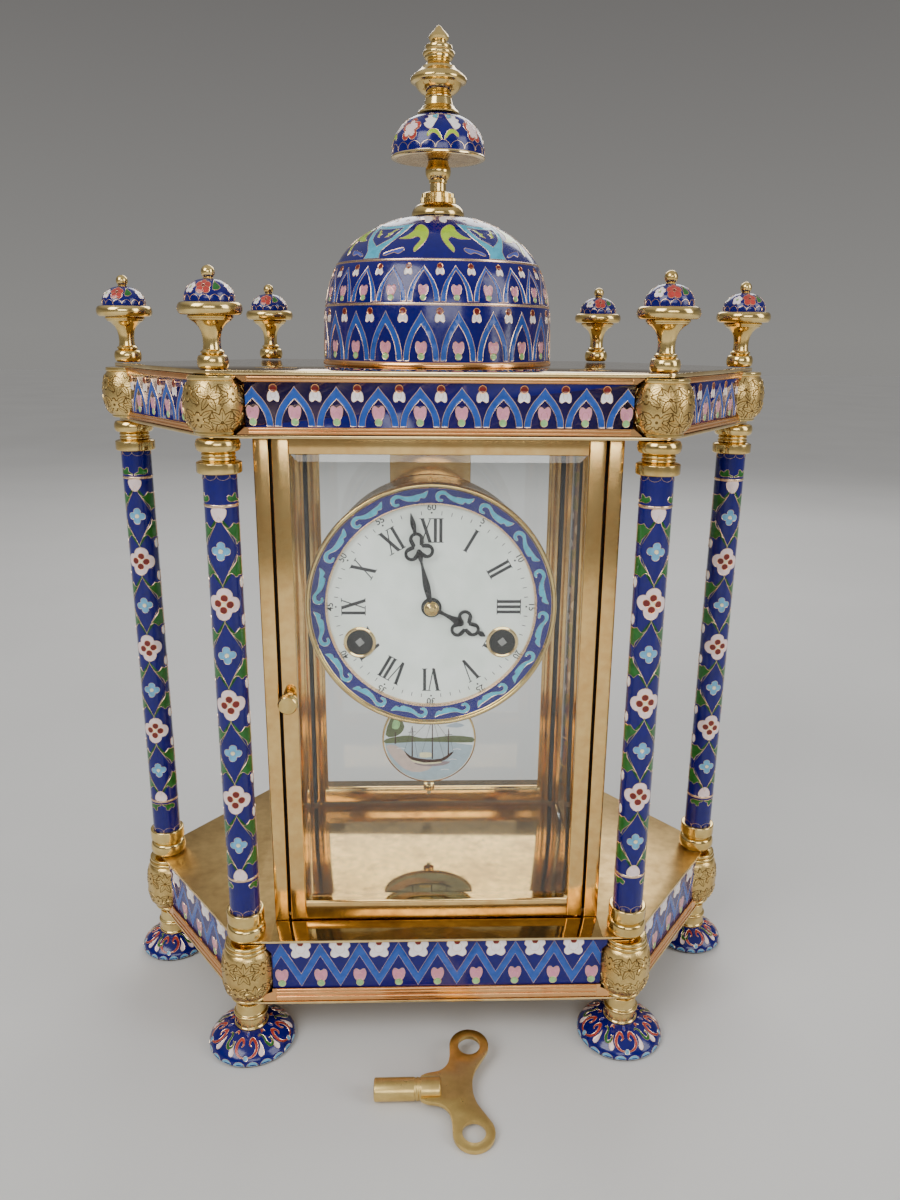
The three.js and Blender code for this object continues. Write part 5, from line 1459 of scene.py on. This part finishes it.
def printed_number(text, height, level):
    """A small number as a thin flat work, middled on the origin."""
    curve = bpy.data.curves.new("number", "FONT")
    curve.body = text
    curve.align_x, curve.align_y = "CENTER", "CENTER"
    curve.size = height
    curve.extrude = 0.03
    curve.offset = 0.012 * height
    holder = bpy.data.objects.new("number", curve)
    bpy.context.scene.collection.objects.link(holder)
    bpy.context.view_layer.update()
    mesh = bpy.data.meshes.new_from_object(holder)
    work = bmesh.new()
    work.from_mesh(mesh)
    bpy.data.objects.remove(holder)
    bpy.data.meshes.remove(mesh)
    bmesh.ops.remove_doubles(work, verts=work.verts, dist=0.001)
    paint(work.faces, "printed_black")
    return moved(work, 0, 0, level)


face_work = turned([(0, DIAL_FACE - 1.5), (55.8, DIAL_FACE - 1.5), (56.0, DIAL_FACE - 1.2),
    (56.0, DIAL_FACE - 0.3), (55.6, DIAL_FACE), (0, DIAL_FACE)], "dial_white", 120)
dial_works = [face_work]
for hour, text in enumerate(["XII", "I", "II", "III", "IIII", "V", "VI", "VII", "VIII", "IX", "X", "XI"]):
    print_work = bmesh.new()
    for points in numeral(text):
        slab(print_work, shifted(points, 0, 34.0), "printed_black", DIAL_FACE - 0.1, DIAL_FACE + 0.05)
    dial_works.append(rotated(outward(print_work), -30 * hour))
    number = printed_number(str(hour * 5 or 60), 4.7, DIAL_FACE + 0.03)
    dial_works.append(rotated(moved(number, 0, 52.2, 0), -30 * hour))
marks = bmesh.new()
for minute in range(60):
    turn = -6 * minute
    if minute % 5:
        slab(marks, shifted([(-0.18, 48.4), (0.18, 48.4), (0.18, 50.4), (-0.18, 50.4)], 0, 0, turn),
            "printed_black", DIAL_FACE - 0.1, DIAL_FACE + 0.04)
    else:
        slab(marks, shifted(circle(0, 49.4, 0.52, 10), 0, 0, turn), "printed_black", DIAL_FACE - 0.1,
            DIAL_FACE + 0.04)
dial_works.append(outward(marks))
for x, y in WINDING:
    grommet = turned([(6.65, DIAL_FACE - 1.9), (8.2, DIAL_FACE - 1.9), (6.9, DIAL_FACE - 0.1),
        (8.5, DIAL_FACE + 0.1), (8.3, DIAL_FACE + 0.6), (7.6, DIAL_FACE + 0.85), (6.9, DIAL_FACE + 0.6),
        (6.65, DIAL_FACE + 0.1)], "edge_brass", 56, closed=True)
    well = rod(6.64, DIAL_FACE - 2.0, DIAL_FACE + 0.1, "shadow_black", 48, 0.05)
    dial_works += [moved(grommet, x, y), moved(well, x, y)]
piece("dial_plate", on_dial(joined(*dial_works)), "clock_case", "dial_enamel", "dial")


# ---- Hands ----

def clover(x, y, away, lobe, wide, low, high):
    """An open trefoil of a hand: a band round three lobes that open into each other."""
    work = bmesh.new()
    rings = []
    for reach in (lobe, lobe - wide):
        outline = petals(x, y, away + reach, 3, reach / (away + reach), 90, 1.0, 12,
            0.9 * reach / (away + reach))
        corners = [work.verts.new((px, py, low)) for px, py in outline]
        rings += [work.edges.new(pair) for pair in zip(corners, corners[1:] + corners[:1])]
    bmesh.ops.bridge_loops(work, edges=rings)
    thickened(work, high - low)
    paint(work.faces, "black_steel")
    return work


def hand(length, trefoil_at, hub, low, high, blade):
    shape = bmesh.new()
    slab(shape, blade, "black_steel", low, high, 0.12)
    foot = trefoil_at + 7.8
    rise = length - foot
    side = [(0.8, foot), (1.0, foot + 0.16 * rise), (1.45, foot + 0.45 * rise), (0.9, foot + 0.74 * rise)]
    slab(shape, flowing(side + [(0, length)] + mirrored(side), 2), "black_steel", low, high, 0.12)
    return joined(outward(shape), clover(0, trefoil_at, 4.5, 3.8, 1.6, low, high),
        rod(hub, low, high, "black_steel", 40, 0.15))


hour_low, minute_low = DIAL_FACE + 0.9, DIAL_FACE + 2.6
minute_blade = whole([(-0.9, 3.0), (-1.7, 9.0), (-1.8, 13.0), (-1.0, 20.0), (-0.7, 25.0), (-1.8, 29.0),
    (-0.8, 31.6)])
hour_blade = whole([(-1.2, 3.0), (-0.9, 7.0), (-1.3, 12.0), (-2.4, 16.6), (-0.9, 19.0)])
minute_work = joined(hand(51.0, 32.5, 4.3, minute_low, minute_low + 0.8, minute_blade),
    turned([(0, minute_low), (3.9, minute_low + 0.3), (3.9, minute_low + 1.4), (3.6, minute_low + 2.1),
    (2.6, minute_low + 2.8), (1.4, minute_low + 3.1), (1.2, minute_low + 3.3), (0, minute_low + 3.4)],
    "turned_brass", 40), rod(1.2, -48.1, minute_low, "steel", 16, 0.2))
hour_work = joined(hand(32.5, 20.1, 5.3, hour_low, hour_low + 0.8, hour_blade),
    turned([(1.7, -12.1), (3.0, -12.1), (3.0, hour_low), (1.7, hour_low)], "movement_brass", 24, closed=True))
piece("long_hand", on_dial(rotated(minute_work, -348)), "minute_hand", "hand_steel", "minute_hand")
piece("short_hand", on_dial(rotated(hour_work, -119)), "hour_hand", "hand_steel", "hour_hand")


# ---- Movement ----

def screw_head(radius=2.0):
    head = turned(eased([(0, 0), (radius, 0), (radius, 0.7), (0.7 * radius, 1.1), (0, 1.2)], 0.25), "steel",
        24)
    return joined(head, block(-0.8 * radius, 0.8 * radius, -0.2, 0.2, 0.95, 1.26, "shadow_black", 0))


drum_wall = turned(eased([(59, -56.6), (60.6, -56.6), (61, -56.2), (61, -4.2), (60.6, -3.7), (59, -3.7)],
    0.3), "movement_brass", 120, closed=True)
drum_screws = []
for degrees in (38, 142, 218, 322):
    head = moved(rotated(screw_head(2.2), 90, "Y"), 60.9, 0, -11)
    drum_screws.append(rotated(head, degrees))
piece("movement_wall", on_dial(joined(drum_wall, *drum_screws)), "clock_case", "movement_brass",
    "movement_drum")

low, high = limits("movement_frame")
top_of_strap = high.z - dial_z
frame_works = [rod(55, -15.1, -12.6, "movement_brass", 96, 0.4),
    rod(55, -51.1, -48.6, "movement_brass", 96, 0.4)]
for x, z in ((-26, -38), (26, -38), (-26, 38), (26, 38)):
    pillar = turned([(0, -49), (3, -49), (2.2, -46), (3.4, -44), (2.4, -41), (2.2, -32), (2.4, -23),
        (3.4, -20), (2.2, -18), (3, -14), (0, -14)], "movement_brass", 28)
    frame_works += [moved(pillar, x, z), moved(rotated(screw_head(2.6), 180, "X"), x, z, -51.1)]
for x in (-16, 16):
    frame_works.append(moved(rod(3, -59.6, -51, "movement_brass", 24), x, 30))


def upright_block(x0, x1, depth0, depth1, z0, z1, finish="movement_brass", ease=0.4):
    """A block given from the dial's middle, with depths counted back from the bezel."""
    return block(x0, x1, z0, z1, -depth1, -depth0, finish, ease)


frame_works += [upright_block(-22.5, 22.5, 58.6, 61.1, 18, top_of_strap, "case_brass"),
                upright_block(-22.5, 22.5, 58.6, 78.6, top_of_strap - 2.5, top_of_strap, "case_brass"),
                upright_block(-4, 4, 60.1, 86.6, 52.5, 57.5, "movement_brass"),
                upright_block(-6, 6, 51.1, 53.6, 44, 54, "movement_brass")]
for x in (-14, 14):
    frame_works.append(moved(rotated(screw_head(2.6), 180, "X"), x, 26, -61.1))
BELL_DROP = -10      # the bell's middle, from the dial's middle
frame_works += [moved(rod(3.5, -71.2, -51, "movement_brass", 24), 0, BELL_DROP),
                moved(rod(2, -75, -71, "steel", 20), 0, BELL_DROP)]
piece("movement_plates", on_dial(joined(*frame_works)), "clock_case", "movement_brass", "movement_frame")


for (x, z), train in zip(WINDING, ("strike", "going")):
    node = train + "_winder"
    nose = rotated(block(-2.4, 2.4, -2.4, 2.4, -16.1, DIAL_FACE + 0.2, "steel", 0.7, 1), 38)
    arbor = rod(2.0, -48.1, -15, "steel", 20)
    barrel_work = turned(eased([(0, -44.6), (12, -44.6), (12, -18.1), (0, -18.1)], 0.5), "movement_brass", 48)
    gear = toothed(11.9, 48, 0.714, (0.35, 0.5, 0.85), -46.4, -44.8, "movement_brass", 0.08)
    piece(train + "_arbor", on_dial(moved(joined(nose, arbor, barrel_work, gear), x, z)), node,
        "arbor_steel", node)

escape = from_node("escape_wheel")
paint(escape.faces, "movement_brass")
piece("escape_teeth", escape, "escape_wheel", "movement_brass", "escape_wheel")
pallets = from_node("anchor")
paint(pallets.faces, "steel")
piece("pallets", pallets, "anchor", "arbor_steel", "anchor")


# ---- Pendulum ----

bob_low, bob_high = limits("pendulum_bob")
bob_x, bob_y, bob_z = tuple((bob_low + bob_high) / 2)
BOB_RADIUS = 29.5


def bob_face_height(x, y):
    """How far the painted face stands forward, less towards its edge."""
    return 3.5 - 1.1 * (x * x + y * y) / (BOB_RADIUS * BOB_RADIUS)


def bob_front():
    """A white enamel disc with a small painted view: a boat at anchor off a low shore."""
    face = turned([(0, -3.4), (24, -2.8), (28.6, -1.8), (29.4, -0.8), (29.5, 0.2), (29.2, 1.2), (28.2, 2.1),
        (24, 2.75), (17, 3.15), (8, 3.42), (0, 3.5)], "sky_white", 80)
    rim = turned(eased([(28.5, 1.6), (29.4, 0.6), (29.5, -0.6), (29.3, 1.3), (28.9, 2.3), (28.2, 2.3)],
        0.15), "turned_brass", 80, closed=True)
    view = bmesh.new()

    def brush(points, finish, level):
        slab(view, points, finish, -0.4, level, 0.02)

    def arc(start, end, step=8, radius=27.6):
        return [(radius * math.cos(math.radians(d)), radius * math.sin(math.radians(d)))
            for d in range(start, end + 1, step)]

    brush(arc(184, 356, 8) + [(12, -1.0), (-10, -0.4)], "water_grey", 0.02)
    brush(flowing([(-27, 0.6), (-20, 2.6), (-12, 3.4), (-4, 1.6), (6, 2.4), (15, 3.2), (27, 1.6), (27, -1.8),
        (10, -1.2), (-8, -0.8), (-27, -2.2)], 2), "hill_green", 0.04)
    brush(flowing([(-16, 13), (-9, 15.6), (-1, 14.4), (5, 16.4), (-2, 18.4), (-11, 17.6)], 2), "cloud_grey",
        0.03)
    brush(flowing([(10, 9.6), (17, 11.6), (22, 9.8), (17, 8.4)], 2), "cloud_grey", 0.03)
    brush(flowing([(-27, -4), (-21, -3.4), (-15, -8), (-8, -14.2), (2, -18.2), (-6, -22.0), (-15, -20),
        (-22, -13)], 2), "sand", 0.05)
    brush(flowing([(-9.6, -15.8), (-2, -17.8), (9, -17.2), (13.4, -14.6), (6, -14.4), (-4, -14.0)], 2),
        "dusk_grey", 0.06)
    brush(flowing([(-27.2, 3.6), (-22.6, 2.2), (-17.6, 4.8), (-15.4, 9.4), (-17.2, 14.6), (-16.4, 19.0),
        (-20.0, 19.4), (-24.0, 14.4)], 2), "hill_green", 0.07)
    brush(flowing([(-23.0, 8.2), (-19.6, 7.6), (-18.0, 11.4), (-20.4, 14.8), (-22.6, 12.2)], 2),
        "light_green", 0.09)
    brush([(-21.6, -2.4), (-20.6, -2.4), (-20.8, 5.6), (-21.4, 5.6)], "hull_brown", 0.1)
    brush(flowing([(-15.6, -6.6), (-11.4, -10.8), (-2, -12.8), (7.6, -12.4), (13.4, -8.4), (15.4, -8.0),
        (12.2, -11.8), (7.0, -14.8), (-3, -15.4), (-10.6, -13.4), (-14.2, -9.8)], 2), "hull_brown", 0.1)
    brush(flowing([(-10.8, -13.2), (-3, -15.2), (7.2, -14.6), (6.6, -15.6), (-3.2, -16.3), (-10.2, -14.6)],
        2), "cream", 0.12)
    brush(flowing([(-6, -9.8), (-5.4, -8.2), (1.0, -8.2), (1.4, -11.2), (-5.2, -11.6)], 2), "cream", 0.12)
    for x, low, high in ((-10.6, -11.0, 9.8), (2.0, -12.6, 15.8), (12.0, -10.6, 7.8)):
        brush([(x - 0.45, low), (x + 0.45, low), (x + 0.26, high), (x - 0.26, high)], "hull_brown", 0.13)
        brush([(x - 2.4, high - 4.4), (x + 2.4, high - 4.0), (x + 2.4, high - 3.7), (x - 2.4, high - 4.1)],
            "hull_brown", 0.14)
    for x0, y0, x1, y1 in ((-10.6, 9.6, -15.4, -6.8), (2.0, 15.6, -10.6, 2.0), (2.0, 15.6, -5.2, -11.2),
            (2.0, 15.6, 9.2, -11.4), (2.0, 15.6, 12.0, 1.0), (12.0, 7.6, 15.2, -8.2),
            (-10.6, 9.6, -7.2, -11.6)):
        brush(ribbon([(x0, y0), (x1, y1)], 0.2), "hull_brown", 0.11)
    for x, y in ((14.6, -13.4), (17.4, -6.4), (-17.6, -5.6), (10.0, -20.4)):
        brush(ribbon([(x - 2.6, y), (x, y + 0.5), (x + 2.6, y)], 0.4), "white_petal", 0.06)
    view = gridded(view, 2.4, (0, 1))
    for vert in view.verts:
        vert.co.z += bob_face_height(vert.co.x, vert.co.y)
    return joined(face, rim, view)


piece("bob", facing_front(bob_front(), bob_x, bob_y, bob_z), "pendulum", "dial_enamel", "pendulum_bob")
rod_low, rod_high = limits("pendulum_rod")
pivot_z = rod_high.z - 1.5
nut_top = bob_low.z - 1.5
upper_rod = [(0, bob_high.z - 1), (1.2, bob_high.z - 1), (1.2, pivot_z - 9), (2.0, pivot_z - 8),
             (2.0, pivot_z - 5), (0, pivot_z - 5)]
lower_rod = [(0, rod_low.z), (1.2, rod_low.z), (1.2, bob_low.z + 1), (0, bob_low.z + 1)]
nut = [(0, nut_top - 4), (3.1, nut_top - 4), (3.5, nut_top - 3.4), (3.5, nut_top - 0.6), (3.1, nut_top),
    (0, nut_top)]
rod_work = joined(turned(eased(upper_rod, 0.2), "steel", 20), turned(eased(lower_rod, 0.2), "steel", 20),
                  turned(eased(nut, 0.2), "turned_brass", 18))
rod_work = moved(rod_work, bob_x, bob_y)
rod_work = joined(rod_work, block(bob_x - 4, bob_x + 4, bob_y - 1.5, bob_y + 1.5, pivot_z - 6, pivot_z + 1.5,
    "movement_brass", 0.3))
piece("pendulum_shaft", rod_work, "pendulum", "turned_brass", "pendulum_rod")


# ---- Bell and hammer ----

bell = turned(eased([(2.3, -72.9), (13, -73.0), (18, -71.4), (21, -68.6), (22.6, -64.4), (23.0, -60.6),
    (21.6, -60.6), (21.0, -64.2), (19.4, -67.6), (16.6, -69.8), (12.4, -71.4), (2.3, -71.4)], 0.5),
    "turned_brass", 72, closed=True)
piece("gong_bell", on_dial(moved(bell, 0, BELL_DROP)), "clock_case", "movement_brass", "bell")
striker = from_node("hammer")
paint(striker.faces, "dull_steel")
piece("striker", striker, "hammer", "arbor_steel", "hammer")


# ---- Key ----

KEY_THICK = 2.5
SOCKET_RADIUS = 5.6
LYING_REACH = 37.5       # how far from its middle line the lying key meets the floor
WING_X, WING_Y, WING_RADIUS, WING_HOLE = 49.7, 25.5, 10.5, 5.8


def wing_side():
    """The edge of the key's plate from its waist, round one wing, to the tip of one tine."""
    wing = [(WING_X + WING_RADIUS * math.cos(math.radians(d)),
        WING_Y + WING_RADIUS * math.sin(math.radians(d))) for d in range(-24, 173, 14)]
    waist = flowing([(50.3, 0), (50.6, 4.4), (52.2, 9.8), (55.2, 14.8)], 3, closed=False)
    shoulder = flowing([(39.2, 20.0), (38.3, 15.0), (36.0, 11.6), (32.6, 9.6), (27.4, 8.6), (24.2, 7.2)], 3,
        closed=False)
    return waist + wing + shoulder + [(23.6, 6.3), (24.4, 5.75), (33.0, 5.75)]


def key_plate():
    half = wing_side()
    outline = half + [(x, -y) for x, y in reversed(half)][:-1]
    work = bmesh.new()
    edges = []
    for points in (outline, circle(WING_X, WING_Y, WING_HOLE, 40), circle(WING_X, -WING_Y, WING_HOLE, 40)):
        corners = [work.verts.new((x, y, -KEY_THICK / 2)) for x, y in points]
        edges += [work.edges.new(pair) for pair in zip(corners, corners[1:] + corners[:1])]
    bmesh.ops.triangle_fill(work, use_beauty=True, edges=edges)
    thickened(work, KEY_THICK)
    rims = [e for e in work.edges if len(e.link_faces) == 2 and e.calc_face_angle(0) > 1.2
        and abs(e.verts[0].co.z - e.verts[1].co.z) < 0.1]
    bmesh.ops.bevel(work, geom=rims, offset=0.35, segments=2, affect="EDGES", profile=0.5, material=-1)
    paint(work.faces, "key_brass")
    return work


key_low, key_high = limits("winding_key")
key_barrel = turned(eased([(2.5, 0), (4.9, 0), (5.6, 0.5), (5.6, 20.6), (5.25, 21.0), (5.25, 21.6),
    (5.6, 22.0), (5.6, 22.5), (5.25, 22.9), (5.25, 23.4), (5.6, 23.8), (5.6, 33.5), (5.0, 34.0), (0, 34.0),
    (0, 16.0), (2.5, 16.0)], 0.25), "key_brass", 56, closed=True)
socket_wall = rod(2.5, 15.9, 16.4, "shadow_black", 24, 0.05)
key_work = rotated(joined(key_barrel, socket_wall), 90, "Y")
key_tilt = math.degrees(math.asin((SOCKET_RADIUS - KEY_THICK / 2) / LYING_REACH))
key_work = rotated(joined(key_work, key_plate()), key_tilt, "X")
piece("key", moved(key_work, key_low.x, (key_low.y + key_high.y) / 2, SOCKET_RADIUS), "winding_key",
    "key_brass", "winding_key")


# ---- Floor, light and air ----

def floor():
    work = bmesh.new()
    bmesh.ops.create_grid(work, x_segments=1, y_segments=1, size=9.0)
    mesh = bpy.data.meshes.new("floor")
    work.to_mesh(mesh)
    work.free()
    thing = bpy.data.objects.new("floor", mesh)
    bpy.context.scene.collection.objects.link(thing)
    pale = Finish("floor_pale")
    pale.feed(pale.ramp(pale.noise(300), (0.3, (0.62, 0.61, 0.59, 1)), (0.7, (0.66, 0.65, 0.63, 1))),
        "Base Color")
    pale.set(Roughness=0.55)
    mesh.materials.append(pale.material)


def soft_light(name, place, toward, size, power, colour=(1, 1, 1)):
    light = bpy.data.lights.new(name, "AREA")
    light.shape = "RECTANGLE"
    light.size, light.size_y = size
    light.energy = power
    light.color = colour
    thing = bpy.data.objects.new(name, light)
    bpy.context.scene.collection.objects.link(thing)
    thing.location = place
    thing.rotation_euler = (Vector(toward) - Vector(place)).to_track_quat("-Z", "Y").to_euler()


def air():
    """A room that is lighter above than round about."""
    world = bpy.data.worlds.new("room")
    bpy.context.scene.world = world
    world.use_nodes = True
    nodes, links = world.node_tree.nodes, world.node_tree.links
    place = nodes.new("ShaderNodeTexCoord")
    split = nodes.new("ShaderNodeSeparateXYZ")
    ramp = nodes.new("ShaderNodeValToRGB")
    stops = ramp.color_ramp.elements
    stops[0].position, stops[0].color = 0.0, (0.5, 0.49, 0.47, 1)
    stops[1].position, stops[1].color = 0.8, (1.0, 1.0, 1.0, 1)
    middle = stops.new(0.3)
    middle.color = (0.3, 0.29, 0.28, 1)
    links.new(place.outputs["Generated"], split.inputs[0])
    links.new(split.outputs["Z"], ramp.inputs["Fac"])
    links.new(ramp.outputs["Color"], nodes["Background"].inputs["Color"])
    nodes["Background"].inputs["Strength"].default_value = 0.55


floor()
air()
soft_light("window_left", (-1.1, -1.2, 1.5), (0, 0, 0.25), (1.0, 1.2), 26)
soft_light("window_right", (1.5, -0.7, 0.9), (0, 0, 0.2), (0.7, 1.2), 12)
soft_light("window_front", (0.2, -2.2, 0.9), (0, 0, 0.2), (1.4, 0.6), 12)
soft_light("window_behind", (0.3, 1.6, 1.3), (0, 0, 0.3), (1.4, 0.8), 14)
